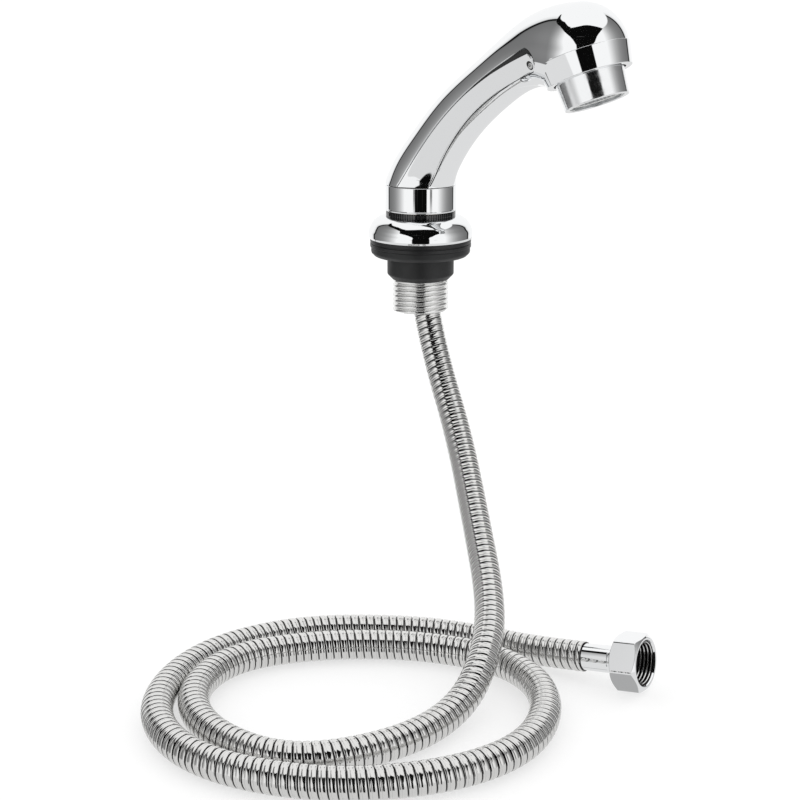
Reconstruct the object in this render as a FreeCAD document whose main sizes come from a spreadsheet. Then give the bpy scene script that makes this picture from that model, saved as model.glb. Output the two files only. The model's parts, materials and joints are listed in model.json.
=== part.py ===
import FreeCAD, Part
import math
import os

import Sketcher

# Pull-out hand shower with its base, docking collar and ribbed hose.
# Millimetres. +Z is up, the spout points along +X, and the origin is the centre of the
# deck hole on top of the deck, where the base flange sits.

vector = FreeCAD.Vector
document = FreeCAD.newDocument("HandShower")
sheet = document.addObject("Spreadsheet::Sheet", "Sizes")

# Driving sizes. Each name is an alias in the sheet.
sizes = {
    # Base, from the deck up and down
    "flange_radius": 25.6,
    "flange_height": 4.6,
    "flange_edge": 1.8,
    "hub_radius": 17.25,
    "hub_length": 12.4,
    "hub_chamfer": 2.8,
    "gasket_radius": 26.1,
    "gasket_height": 4.5,
    "gasket_groove": 0.5,
    "gasket_groove_height": 0.8,
    "dome_radius": 26.8,
    "dome_height": 11.5,
    "dome_round": 8.2,
    "dome_wall": 2.0,
    "rim_height": 1.1,
    "rim_inset": 0.4,
    "boss_wall": 2.6,
    "boss_length": 9.0,
    "shank_radius": 14.3,
    "shank_length": 28.6,
    "shank_wall": 1.9,
    "shank_chamfer": 1.0,
    "shank_sink": 0.2,
    "thread_play": 0.15,
    "neck_radius": 17.8,
    "neck_height": 2.7,
    "neck_bore": 14.9,
    "notch_width": 0.9,
    "notch_depth": 0.8,
    "bush_bore": 9.6,
    "bush_length": 22.0,
    "bush_play": 0.1,
    # Docking collar
    "seat_gap": 0.3,
    "collar_radius": 18.2,
    "collar_height": 13.0,
    "collar_wall": 1.7,
    "collar_lip": 0.3,
    "lip_height": 0.9,
    "dock_play": 0.3,
    "dock_length": 2.4,
    "socket_bore": 7.5,
    "socket_depth": 11.2,
    "waterway": 3.2,
    "pin_radius": 5.0,
    "pin_length": 10.0,
    "groove_depth": 1.1,
    "oring_rise": 3.2,
    "oring_height": 2.0,
    "clip_height": 1.0,
    "clip_radius": 6.3,
    "clip_play": 0.1,
    "swivel_play": 0.05,
    # Hose and its fittings
    "hose_radius": 7.0,
    "hose_root": 6.2,
    "hose_bore": 4.3,
    "ferrule_radius": 6.2,
    "ferrule_length": 18.6,
    "nipple_flats": 15.0,
    "nipple_hex": 3.6,
    "nipple_play": 0.1,
    "nipple_length": 9.6,
    "washer_bore": 4.6,
    "tail_play": 0.1,
    "tail_reach": 16.0,
    "tail_flange": 8.6,
    "tail_flange_height": 1.8,
    "nut_washer_height": 1.8,
    "nut_flats": 24.0,
    "nut_length": 13.1,
    "nut_bore": 9.3,
    "nut_relief": 1.2,
    "nut_entry": 1.1,
    "nut_back": 1.5,
    "nut_play": 0.2,
    "nut_round": 1.9,
    "nut_face": 0.3,
    "nut_chamfer": 1.1,
    # Handle stations along the centre line: place, radius and lean from upright
    "heel_drop": 1.5,
    "foot_x": 0.0,
    "foot_radius": 18.2,
    "foot_lean": 0.0,
    "ankle_x": 2.8,
    "ankle_z": 44.6,
    "ankle_radius": 16.1,
    "ankle_lean": 23.0,
    "shin_x": 9.4,
    "shin_z": 54.7,
    "shin_radius": 14.8,
    "shin_lean": 35.0,
    "waist_x": 25.0,
    "waist_z": 73.0,
    "waist_radius": 13.8,
    "waist_lean": 44.5,
    "chest_x": 45.2,
    "chest_z": 89.7,
    "chest_radius": 13.3,
    "chest_lean": 53.5,
    "shoulder_x": 64.5,
    "shoulder_z": 101.8,
    "shoulder_radius": 13.8,
    "shoulder_lean": 60.0,
    "throat_x": 79.0,
    "throat_z": 107.2,
    "throat_radius": 17.0,
    "throat_lean": 73.0,
    "crown_x": 89.5,
    "crown_z": 108.2,
    "crown_radius": 19.9,
    "crown_lean": 86.0,
    "brow_x": 94.4,
    "brow_z": 107.9,
    "brow_radius": 20.9,
    "brow_lean": 89.0,
    "shell_wall": 2.3,
    # Head, measured along its own leaning axis from the seam between dome and ring
    "head_x": 96.6,
    "head_z": 106.1,
    "head_lean": 21.5,
    "ball_radius": 21.1,
    "ball_rise": 1.9,
    "ring_top": 21.0,
    "ring_belly": 21.2,
    "belly_drop": 4.0,
    "ring_foot": 19.6,
    "ring_height": 11.3,
    "ring_bore": 17.3,
    "ring_room": 20.0,
    "ledge_radius": 18.8,
    "ledge_depth": 2.4,
    "head_play": 0.15,
    "core_radius": 14.2,
    "core_wall": 2.0,
    "core_top": 11.0,
    "core_foot": 13.0,
    "core_flange": 2.2,
    "port_rise": 5.5,
    "port_radius": 5.6,
    "port_reach": 16.2,
    "nozzle_top": 16.5,
    "nozzle_start": 3.2,
    "nozzle_foot": 14.95,
    "nozzle_drop": 23.9,
    "nozzle_rim": 2.0,
    "nozzle_play": 0.15,
    "washer_height": 1.0,
    "plate_inset": 1.5,
    "plate_height": 1.6,
    "plate_hole": 0.7,
    "hole_spacing": 3.6,
    "insert_height": 3.6,
    "insert_wall": 1.4,
    "vane_width": 0.9,
    # Swivel socket and water tube inside the handle
    "socket_flange": 14.4,
    "flange_step": 2.0,
    "socket_radius": 8.6,
    "shoulder_height": 7.1,
    "clip_room": 6.9,
    "clip_room_height": 4.3,
    "roof_height": 0.6,
    "spout_radius": 5.6,
    "spout_height": 1.4,
    "tube_radius": 4.5,
    "tube_knee": 54.3,
    "tube_bend": 7.0,
    "port_knee": 33.0,
    "port_bend": 40.0,
    # Side panels and their screws
    "panel_height": 1.2,
    "panel_play": 0.15,
    "panel_back_x": -1.2,
    "panel_front_x": 14.0,
    "panel_top_x": 77.4,
    "panel_top_z": 108.2,
    "panel_corner_x": 83.8,
    "panel_corner_z": 103.8,
    "panel_low_x": 78.0,
    "panel_low_z": 96.4,
    "panel_back_curve": 151.6,
    "panel_front_curve": 103.5,
    "panel_end_curve": 6.0,
    "screw_x": 79.0,
    "screw_z": 101.2,
    "screw_radius": 1.6,
    "screw_length": 4.4,
    "screw_reach": 16.0,
    "screw_play": 0.1,
}

for row, (alias, value) in enumerate(sizes.items(), start=1):
    sheet.set(f"A{row}", alias)
    sheet.set(f"B{row}", str(value))
    sheet.setAlias(f"B{row}", alias)
document.recompute()

# Counts
notch_count = 40
plate_rings = 3
vane_bars = 3
rib_count = 150

# Route of the hose centre line, from the collar down through the shank, round two loose
# turns and out to the coupling nut.
hose_route = [
    (0, 0, 14), (0, 0, -12), (12, -2, -52), (39, -16, -87), (72, -44, -119),
    (103, -73, -142), (125, -105, -151), (133, -134, -165), (133, -177, -165),
    (109, -217, -165), (65, -220, -165), (31, -199, -165), (21, -159, -165),
    (43, -119, -165), (82, -90, -165), (122, -81, -165), (156, -99, -165),
    (176, -141, -165), (165, -185, -165), (129, -224, -165), (75, -241, -165),
    (28, -221, -165), (3, -170, -165), (18, -118, -165), (60, -82, -165),
    (95, -69, -165), (122, -63.5, -165), (148, -60, -161.5),
]

# Heights that several pieces share, as sums of the sizes above
dome_foot = "flange_height + gasket_height"
dome_top = dome_foot + " + dome_height"
shank_top = dome_top + " - shank_sink"
neck_top = dome_top + " + neck_height"
collar_foot = neck_top + " + seat_gap"
collar_top = collar_foot + " + collar_height"
spigot_foot = collar_foot + " - dock_length"
handle_foot = collar_top + " + seat_gap"
hose_top = str(hose_route[0][2])

parts = {}


def term(word):
    name, _, share = word.partition("/")
    value = sizes[name] if name in sizes else float(name)
    return value / float(share) if share else value


def measured(text):
    """Value of a sum such as 'neck_radius + seat_gap/2 - 2'."""
    total = 0.0
    sign = 1.0
    for word in text.split():
        if word in "+-":
            sign = 1.0 if word == "+" else -1.0
        else:
            total += sign * term(word)
    return total


def bound(text):
    """The same sum as an expression on the sheet."""
    words = text.split()
    return " ".join("Sizes." + word if word.partition("/")[0] in sizes else word for word in words)


def minus(text):
    """The sum with every sign turned round."""
    turned = {"+": "-", "-": "+"}
    return " ".join(["-"] + [turned.get(word, word) for word in text.split()])


def tie(thing, target, text):
    thing.setExpression(target, bound(text))


def place(thing, x="0", y="0", z="0"):
    tie(thing, ".Placement.Base.x", x)
    tie(thing, ".Placement.Base.y", y)
    tie(thing, ".Placement.Base.z", z)
    return thing


def sub_part(thing, label):
    thing.Label = label
    parts[label] = thing
    return thing


def origin_feature(body, role):
    return [item for item in body.Origin.OriginFeatures if item.Role == role][0]


def new_sketch(body, name, role):
    sketch = body.newObject("Sketcher::SketchObject", name)
    sketch.AttachmentSupport = [(origin_feature(body, role), "")]
    sketch.MapMode = "FlatFace"
    return sketch


def arc_between(start, end, radius):
    """Arc from start to end that bulges left of the way, or right if the radius is negative."""
    chord = end - start
    left = vector(-chord.y, chord.x, 0).normalize()
    rise = abs(radius) - math.sqrt(radius ** 2 - (chord.Length / 2) ** 2)
    side = 1 if radius > 0 else -1
    return Part.Arc(start, (start + end) * 0.5 + left * side * rise, end)


def pin_point(sketch, number, end, corner):
    """Hold one end of a sketch edge at the corner's own x and y."""
    for kind, text, axis in (("DistanceX", corner[0], -2), ("DistanceY", corner[1], -1)):
        if text == "0":
            sketch.addConstraint(Sketcher.Constraint("PointOnObject", number, end, axis))
            continue
        rule = sketch.addConstraint(
            Sketcher.Constraint(kind, -1, 1, number, end, measured(text)))
        tie(sketch, f"Constraints[{rule}]", text)


def draw(sketch, corners):
    """Closed outline. A corner is (x, y), or (x, y, radius, side) with an arc to the next."""
    points = [vector(measured(corner[0]), measured(corner[1]), 0) for corner in corners]
    edges = []
    for index, corner in enumerate(corners):
        start = points[index]
        end = points[(index + 1) % len(points)]
        if len(corner) == 2:
            number = sketch.addGeometry(Part.LineSegment(start, end), False)
            edges.append((number, 1, 2))
            continue
        arc = arc_between(start, end, corner[3] * measured(corner[2]))
        number = sketch.addGeometry(arc, False)
        first = sketch.getPoint(number, 1)
        turned = (first - start).Length > (first - end).Length
        edges.append((number, 2, 1) if turned else (number, 1, 2))
        rule = sketch.addConstraint(Sketcher.Constraint("Radius", number, measured(corner[2])))
        tie(sketch, f"Constraints[{rule}]", corner[2])
    for index, (number, start, end) in enumerate(edges):
        following = edges[(index + 1) % len(edges)]
        sketch.addConstraint(
            Sketcher.Constraint("Coincident", number, end, following[0], following[1]))
        pin_point(sketch, number, start, corners[index])


def draw_circle(sketch, x, y, radius):
    centre = vector(measured(x), measured(y), 0)
    circle = Part.Circle(centre, vector(0, 0, 1), measured(radius))
    number = sketch.addGeometry(circle, False)
    rule = sketch.addConstraint(Sketcher.Constraint("Radius", number, measured(radius)))
    tie(sketch, f"Constraints[{rule}]", radius)
    pin_point(sketch, number, 3, (x, y))


def turn_sketch(body, kind, name, corners):
    """Add or cut a full turn of an outline of (radius, height) corners."""
    sketch = new_sketch(body, name + "_outline", "XZ_Plane")
    draw(sketch, corners)
    turn = body.newObject("PartDesign::" + kind, name)
    turn.Profile = sketch
    turn.ReferenceAxis = (sketch, ["V_Axis"])
    turn.Angle = 360
    body.Tip = turn
    return turn


def revolved(name, corners):
    body = document.addObject("PartDesign::Body", name)
    turn_sketch(body, "Revolution", name + "_turn", corners)
    return body


def tube(name, outer, inner, bottom, top):
    return revolved(name, [(inner, bottom), (outer, bottom), (outer, top), (inner, top)])


def pad(body, name, sketch, length, reverse=False, both_ways=False):
    feature = body.newObject("PartDesign::Pad", name)
    feature.Profile = sketch
    tie(feature, "Length", length)
    feature.Reversed = reverse
    feature.Midplane = both_ways
    body.Tip = feature
    return feature


def cut_through(body, name, sketch):
    """Pocket right through, both ways from its sketch."""
    feature = body.newObject("PartDesign::Pocket", name)
    feature.Profile = sketch
    feature.Type = 1
    feature.Midplane = True
    body.Tip = feature
    return feature


def polar(body, name, feature, count):
    pattern = body.newObject("PartDesign::PolarPattern", name)
    pattern.Originals = [feature]
    pattern.Axis = (origin_feature(body, "Z_Axis"), [""])
    pattern.Angle = 360
    pattern.Occurrences = count
    body.Tip = pattern
    return pattern


def combined(kind, name, base, tool):
    result = document.addObject("Part::" + kind, name)
    result.Base = base
    result.Tool = tool
    return result


def mirrored(name, source):
    """The same thing on the other side of the handle."""
    twin = document.addObject("Part::Mirroring", name)
    twin.Source = source
    twin.Normal = vector(0, 1, 0)
    return twin


def hexagon(name, flats, height):
    """Hexagonal prism, sized across its flats."""
    prism = document.addObject("Part::Prism", name)
    prism.Polygon = 6
    prism.setExpression("Circumradius", f"Sizes.{flats} / 2 / cos(30)")
    tie(prism, "Height", height)
    return prism


def circle_edge(shape, radius, height):
    """Name of the full circle with this radius at this height."""
    for number, edge in enumerate(shape.Edges, start=1):
        curve = edge.Curve
        if isinstance(curve, Part.Circle) and abs(curve.Radius - radius) < 0.01:
            if abs(curve.Center.z - height) < 0.01:
                return f"Edge{number}"
    raise ValueError("the body has no such edge")


# Base: centring bush, gasket, dome, shank, neck ring and guide bush
def centring_bush():
    """Flange that lies on the deck, with the hub that fills the deck hole."""
    room = "shank_radius + thread_play"
    shoulder = minus("hub_length - hub_chamfer")
    return revolved("CentringBush", [
        (room, minus("hub_length")),
        ("hub_radius - hub_chamfer", minus("hub_length")),
        ("hub_radius", shoulder),
        ("hub_radius", "0"),
        ("flange_radius - flange_edge", "0"),
        ("flange_radius", "flange_edge"),
        ("flange_radius", "flange_height"),
        (room, "flange_height"),
    ])


def rubber_gasket():
    """Seal ring with a groove round its rim."""
    room = "shank_radius + thread_play"
    middle = "flange_height + gasket_height/2"
    low = middle + " - gasket_groove_height/2"
    high = middle + " + gasket_groove_height/2"
    return revolved("RubberGasket", [
        (room, "flange_height"),
        ("gasket_radius", "flange_height"),
        ("gasket_radius", low),
        ("gasket_radius - gasket_groove", low),
        ("gasket_radius - gasket_groove", high),
        ("gasket_radius", high),
        ("gasket_radius", dome_foot),
        (room, dome_foot),
    ])


def base_dome():
    """Bell with a rounded shoulder and a threaded boss for the shank."""
    room = "shank_radius + thread_play"
    boss = room + " + boss_wall"
    boss_foot = dome_top + " - boss_length"
    ceiling = dome_top + " - dome_wall"
    inside = "dome_radius - dome_wall"
    body = revolved("BaseDome", [
        (inside, dome_foot),
        ("dome_radius - rim_inset", dome_foot),
        ("dome_radius", dome_foot + " + rim_height"),
        ("dome_radius", dome_top),
        (room, dome_top),
        (room, boss_foot),
        (boss, boss_foot),
        (boss, ceiling),
        ("dome_radius - dome_round", ceiling),
        (inside, ceiling + " - dome_round + dome_wall"),
    ])
    document.recompute()
    turn = body.Tip
    edge = circle_edge(turn.Shape, measured("dome_radius"), measured(dome_top))
    rounding = body.newObject("PartDesign::Fillet", "BaseDome_round")
    rounding.Base = (turn, [edge])
    tie(rounding, "Radius", "dome_round")
    body.Tip = rounding
    return body


def threaded_shank():
    bore = "shank_radius - shank_wall"
    return revolved("ThreadedShank", [
        (bore, minus("shank_length")),
        ("shank_radius - shank_chamfer", minus("shank_length")),
        ("shank_radius", minus("shank_length - shank_chamfer")),
        ("shank_radius", shank_top),
        (bore, shank_top),
    ])


def neck_ring():
    """Seat ring with upright notches round its rim."""
    body = tube("NeckRing", "neck_radius", "neck_bore", dome_top, neck_top)
    sketch = new_sketch(body, "NeckRing_notch", "XY_Plane")
    draw(sketch, [
        ("neck_radius - notch_depth", minus("notch_width/2")),
        ("neck_radius + notch_depth", minus("notch_width/2")),
        ("neck_radius + notch_depth", "notch_width/2"),
        ("neck_radius - notch_depth", "notch_width/2"),
    ])
    notch = cut_through(body, "NeckRing_cut", sketch)
    polar(body, "NeckRing_notches", notch, notch_count)
    return body


def guide_bush():
    """Liner in the top of the shank."""
    outside = "shank_radius - shank_wall - bush_play"
    return tube("GuideBush", outside, "bush_bore", shank_top + " - bush_length", shank_top)


sub_part(centring_bush(), "centring_bush")
sub_part(rubber_gasket(), "rubber_gasket")
sub_part(base_dome(), "base_dome")
sub_part(threaded_shank(), "threaded_shank")
sub_part(neck_ring(), "neck_ring")
sub_part(guide_bush(), "guide_bush")

# Docking collar: band, core with its swivel pin, seal ring, clip and hose end
oring_foot = collar_top + " + oring_rise"
oring_top = oring_foot + " + oring_height"
clip_foot = handle_foot + " + shoulder_height + clip_play"
clip_top = clip_foot + " + clip_height"
socket_roof = spigot_foot + " + socket_depth"
nipple_top = spigot_foot + " + nipple_length"
hex_foot = spigot_foot + " - nipple_hex"
groove_floor = "pin_radius - groove_depth"


def collar_band():
    inside = "collar_radius - collar_wall"
    lip = "collar_radius + collar_lip"
    return revolved("CollarBand", [
        (inside, collar_foot),
        (lip, collar_foot),
        (lip, collar_foot + " + lip_height"),
        ("collar_radius", collar_foot + " + lip_height"),
        ("collar_radius", collar_top),
        (inside, collar_top),
    ])


def collar_core():
    """Docking spigot, socket for the hose end and swivel pin with two grooves."""
    spigot = "neck_bore - dock_play"
    body_radius = "collar_radius - collar_wall - bush_play"
    return revolved("CollarCore", [
        ("socket_bore", spigot_foot),
        (spigot, spigot_foot),
        (spigot, collar_foot),
        (body_radius, collar_foot),
        (body_radius, collar_top),
        ("pin_radius", collar_top),
        ("pin_radius", oring_foot),
        (groove_floor, oring_foot),
        (groove_floor, oring_top),
        ("pin_radius", oring_top),
        ("pin_radius", clip_foot),
        (groove_floor, clip_foot),
        (groove_floor, clip_top),
        ("pin_radius", clip_top),
        ("pin_radius", collar_top + " + pin_length"),
        ("waterway", collar_top + " + pin_length"),
        ("waterway", socket_roof),
        ("socket_bore", socket_roof),
    ])


def groove_ring(name, radius, bottom, top):
    """Ring that fills a groove of the swivel pin but for a little play."""
    return tube(name, radius, groove_floor, bottom + " + clip_play/2", top + " - clip_play/2")


def hose_nipple():
    """Hexagon and stem that join the hose to the collar core, bored through."""
    prism = place(hexagon("NippleHexagon", "nipple_flats", "nipple_hex"), z=hex_foot)
    stem = tube("NippleStem", "socket_bore - nipple_play", "waterway", hex_foot, nipple_top)
    bore = document.addObject("Part::Cylinder", "NippleBore")
    tie(bore, "Radius", "waterway")
    tie(bore, "Height", "nipple_hex")
    place(bore, z=hex_foot)
    return combined("Fuse", "HoseNipple", combined("Cut", "NippleCollar", prism, bore), stem)


sub_part(collar_band(), "collar_band")
sub_part(collar_core(), "collar_core")
sub_part(groove_ring("SwivelOring", "pin_radius", oring_foot, oring_top), "swivel_oring")
sub_part(groove_ring("SwivelClip", "clip_radius", clip_foot, clip_top), "swivel_clip")
sub_part(hose_nipple(), "hose_nipple")
sub_part(tube("NippleWasher", "socket_bore - nipple_play", "washer_bore",
              nipple_top, socket_roof), "nipple_washer")
sub_part(tube("UpperFerrule", "ferrule_radius", "hose_bore", hose_top, hex_foot),
         "upper_ferrule")


# Handle: a row of circles on its centre line, lofted. It starts at the heel, a little
# below its foot, and is trimmed flat there.
stations = ["heel", "foot", "ankle", "shin", "waist", "chest", "shoulder", "throat", "crown",
            "brow"]


def handle_form(name, inset):
    """Solid along the handle, smaller than its outside by the inset all round."""
    heights = {"heel": handle_foot + " - heel_drop", "foot": handle_foot}
    rings = []
    for station in stations:
        ring = document.addObject("Part::Circle", f"{name}_{station}")
        from_foot = "foot" if station == "heel" else station
        tie(ring, "Radius", f"{from_foot}_radius{inset}")
        place(ring, x=from_foot + "_x", z=heights.get(station, station + "_z"))
        ring.Placement.Rotation = FreeCAD.Rotation(vector(0, 1, 0), 1)
        tie(ring, ".Placement.Rotation.Angle", from_foot + "_lean")
        rings.append(ring)
    form = document.addObject("Part::Loft", name)
    form.Sections = rings
    form.Solid = True
    form.Ruled = False
    return form


def head_ball(name, radius):
    """Round of the head dome, centred a little above the seam."""
    sphere = document.addObject("Part::Sphere", name)
    tie(sphere, "Radius", radius)
    sphere.setExpression(
        ".Placement.Base.x", "Sizes.head_x - Sizes.ball_rise * sin(Sizes.head_lean)")
    sphere.setExpression(
        ".Placement.Base.z", "Sizes.head_z + Sizes.ball_rise * cos(Sizes.head_lean)")
    return sphere


def on_head(thing):
    """Move a piece drawn about the head's axis to its place on the handset."""
    place(thing, x="head_x", z="head_z")
    thing.Placement.Rotation = FreeCAD.Rotation(vector(0, -1, 0), 1)
    tie(thing, ".Placement.Rotation.Angle", "head_lean")
    return thing


def panel_block(name, grow=""):
    """Block with a panel's side outline, on the left of the handle."""
    shrink = grow.replace("+", "-")
    body = document.addObject("PartDesign::Body", name)
    sketch = new_sketch(body, name + "_outline", "XZ_Plane")
    sketch.AttachmentOffset = FreeCAD.Placement(vector(0, 0, -3), FreeCAD.Rotation())
    low = handle_foot + " - heel_drop/2"
    draw(sketch, [
        ("panel_back_x" + shrink, low),
        ("panel_front_x" + grow, low, "panel_front_curve", 1),
        ("panel_low_x" + grow, "panel_low_z" + shrink),
        ("panel_corner_x" + grow, "panel_corner_z", "panel_end_curve" + grow, -1),
        ("panel_top_x", "panel_top_z" + grow, "panel_back_curve", -1),
    ])
    pad(body, name + "_pad", sketch, "crown_radius + ball_radius", reverse=True)
    return body


def heel_cut(name, height):
    """Cylinder that takes the heel off."""
    cylinder = document.addObject("Part::Cylinder", name)
    tie(cylinder, "Radius", "flange_radius")
    tie(cylinder, "Height", height + " + heel_drop")
    return place(cylinder, z=handle_foot + " - heel_drop - shell_wall")


def panel_screw(name, side, grow=""):
    """Small round screw, square to the handle's side."""
    screw = document.addObject("Part::Cylinder", name)
    tie(screw, "Radius", "screw_radius" + grow)
    tie(screw, "Height", "screw_length" + grow)
    reach = "screw_reach" + grow
    place(screw, x="screw_x", y=reach if side > 0 else minus(reach), z="screw_z")
    screw.Placement.Rotation = FreeCAD.Rotation(vector(side, 0, 0), 90)
    return screw


outside = handle_form("HandleOutside", "")
panel_seat = handle_form("PanelSeat", " - panel_height")
recess_floor = handle_form("RecessFloor", " - panel_height - panel_play")
recess_mouth = handle_form("RecessMouth", " + panel_height")
cavity = handle_form("HandleCavity", " - shell_wall")
panel_skin = combined("Cut", "PanelSkin", outside, panel_seat)
recess_skin = combined("Cut", "RecessSkin", recess_mouth, recess_floor)
ring_space = revolved("RingSpace", [
    ("0", "0"),
    ("ring_top + head_play", "0"),
    ("ring_belly + head_play", minus("belly_drop")),
    ("ring_foot + head_play", minus("ring_height")),
    ("ring_foot + head_play", minus("ring_height + ring_room")),
    ("0", minus("ring_height + ring_room")),
])
dome_inside = head_ball("DomeInside", "ball_radius - shell_wall")
hollows = [cavity, dome_inside, on_head(ring_space), heel_cut("ShellTrim", "shell_wall")]
left_recess = combined("Common", "RecessLeft", recess_skin,
                       panel_block("RecessBlock", " + panel_play"))
long_panel = combined("Common", "PanelLong", panel_skin, panel_block("PanelBlock"))
plain_panel = combined("Cut", "PanelPlain", long_panel,
                       heel_cut("PanelTrim", "shell_wall + panel_play"))
left_panel = combined("Cut", "PanelLeft", plain_panel, panel_screw("PanelHole", 1, " + screw_play"))
hollows.append(left_recess)
hollows.append(mirrored("RecessRight", left_recess))
hollows.append(panel_screw("ScrewHoleLeft", 1, " + screw_play"))
hollows.append(panel_screw("ScrewHoleRight", -1, " + screw_play"))
sub_part(left_panel, "side_panel_left")
sub_part(mirrored("PanelRight", left_panel), "side_panel_right")
shell = combined("Fuse", "FullHandle", outside, head_ball("DomeOutside", "ball_radius"))
for number, hollow in enumerate(hollows, start=1):
    shell = combined("Cut", f"HandleCut{number}", shell, hollow)
sub_part(shell, "handle_shell")
sub_part(combined("Fuse", "PanelScrews", panel_screw("ScrewLeft", 1), panel_screw("ScrewRight", -1)),
         "panel_screws")


# Head: ring, flow core, nozzle cup and what it holds
def head_ring():
    """Ring under the dome, with a ledge for the flow core."""
    return on_head(revolved("HeadRing", [
        ("ledge_radius", "0"),
        ("ring_top", "0"),
        ("ring_belly", minus("belly_drop")),
        ("ring_foot", minus("ring_height")),
        ("ring_bore", minus("ring_height")),
        ("ring_bore", minus("ledge_depth")),
        ("ledge_radius", minus("ledge_depth")),
    ]))


def flow_core():
    """Nozzle carrier: a chamber with a flange and a side port for the water tube."""
    flange = "ledge_radius - head_play"
    flange_foot = minus("ledge_depth")
    flange_top = minus("ledge_depth - core_flange")
    body = revolved("FlowCore", [
        ("0", minus("core_foot")),
        ("core_radius", minus("core_foot")),
        ("core_radius", flange_foot),
        (flange, flange_foot),
        (flange, flange_top),
        ("core_radius", flange_top),
        ("core_radius", "core_top"),
        ("0", "core_top"),
    ])
    port = new_sketch(body, "FlowCore_port", "YZ_Plane")
    draw_circle(port, "0", "port_rise", "port_radius")
    pad(body, "FlowCore_stub", port, "port_reach", reverse=True)
    chamber = "core_radius - core_wall"
    turn_sketch(body, "Groove", "FlowCore_chamber", [
        ("0", minus("core_foot")),
        (chamber, minus("core_foot")),
        (chamber, "core_top - core_wall"),
        ("0", "core_top - core_wall"),
    ])
    bore = new_sketch(body, "FlowCore_bore", "YZ_Plane")
    draw_circle(bore, "0", "port_rise", "waterway")
    drill = body.newObject("PartDesign::Pocket", "FlowCore_drill")
    drill.Profile = bore
    tie(drill, "Length", "port_reach + core_wall")
    body.Tip = drill
    return on_head(body)


def nozzle_cup():
    """Tapered cup that screws on the core and holds the spray plate."""
    bore = "nozzle_foot - nozzle_rim"
    thread = "core_radius + nozzle_play"
    step = minus("core_foot + washer_height")
    return on_head(revolved("NozzleCup", [
        (thread, minus("nozzle_start")),
        ("nozzle_top", minus("nozzle_start")),
        ("nozzle_foot", minus("nozzle_drop")),
        (bore, minus("nozzle_drop")),
        (bore, step),
        (thread, step),
    ]))


def nozzle_washer():
    step = minus("core_foot + washer_height")
    inside = "core_radius - core_wall"
    return on_head(tube("NozzleWasher", "core_radius", inside, step, minus("core_foot")))


plate_foot = minus("nozzle_drop - plate_inset")
plate_top = minus("nozzle_drop - plate_inset - plate_height")
insert_top = minus("nozzle_drop - plate_inset - plate_height - insert_height")
plate_radius = "nozzle_foot - nozzle_rim - nozzle_play"


def spray_plate():
    """Perforated plate: one hole in the middle and rings of 6, 12 and 18."""
    body = revolved("SprayPlate", [
        ("0", plate_foot), (plate_radius, plate_foot), (plate_radius, plate_top), ("0", plate_top),
    ])
    middle = new_sketch(body, "SprayPlate_middle", "XY_Plane")
    draw_circle(middle, "0", "0", "plate_hole")
    cut_through(body, "SprayPlate_hole", middle)
    for ring in range(1, plate_rings + 1):
        sketch = new_sketch(body, f"SprayPlate_sketch{ring}", "XY_Plane")
        x = " + ".join(["hole_spacing"] * ring)
        draw_circle(sketch, x, "0", "plate_hole")
        hole = cut_through(body, f"SprayPlate_first{ring}", sketch)
        polar(body, f"SprayPlate_ring{ring}", hole, 6 * ring)
    return on_head(body)


def stream_insert():
    """Short ring with crossed bars that calms the water above the plate."""
    body = document.addObject("PartDesign::Body", "StreamInsert")
    sketch = new_sketch(body, "StreamInsert_bar", "XZ_Plane")
    end = plate_radius + " - insert_wall/2"
    draw(sketch, [
        (minus(end), plate_top), (end, plate_top), (end, insert_top), (minus(end), insert_top),
    ])
    bar = pad(body, "StreamInsert_bar_pad", sketch, "vane_width", both_ways=True)
    polar(body, "StreamInsert_bars", bar, vane_bars)
    inside = plate_radius + " - insert_wall"
    turn_sketch(body, "Revolution", "StreamInsert_ring", [
        (inside, plate_top), (plate_radius, plate_top),
        (plate_radius, insert_top), (inside, insert_top),
    ])
    return on_head(body)


sub_part(head_ring(), "head_ring")
sub_part(flow_core(), "flow_core")
sub_part(nozzle_cup(), "nozzle_cup")
sub_part(nozzle_washer(), "nozzle_washer")
sub_part(spray_plate(), "spray_plate")
sub_part(stream_insert(), "stream_insert")

# Swivel socket in the foot of the handle
shoulder = handle_foot + " + shoulder_height"
clip_ceiling = shoulder + " + clip_room_height"
socket_crown = clip_ceiling + " + roof_height"
socket_top = socket_crown + " + spout_height"
sub_part(revolved("InletSocket", [
    ("pin_radius + swivel_play", handle_foot),
    ("socket_flange", handle_foot),
    ("socket_flange", handle_foot + " + flange_step"),
    ("socket_radius", handle_foot + " + flange_step"),
    ("socket_radius", socket_crown),
    ("spout_radius", socket_crown),
    ("spout_radius", socket_top),
    ("waterway", socket_top),
    ("waterway", clip_ceiling),
    ("clip_room", clip_ceiling),
    ("clip_room", shoulder),
    ("pin_radius + swivel_play", shoulder),
]), "inlet_socket")


# Bent tubes: straight runs joined by tangent arcs
class Run:
    """Straight stretch of a route."""

    def __init__(self, start, end):
        self.start = start
        self.end = end
        self.length = (end - start).Length
        self.along = (end - start) / self.length

    def edge(self):
        return Part.LineSegment(self.start, self.end).toShape()

    def at(self, distance):
        return self.start + self.along * distance, self.along


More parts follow.
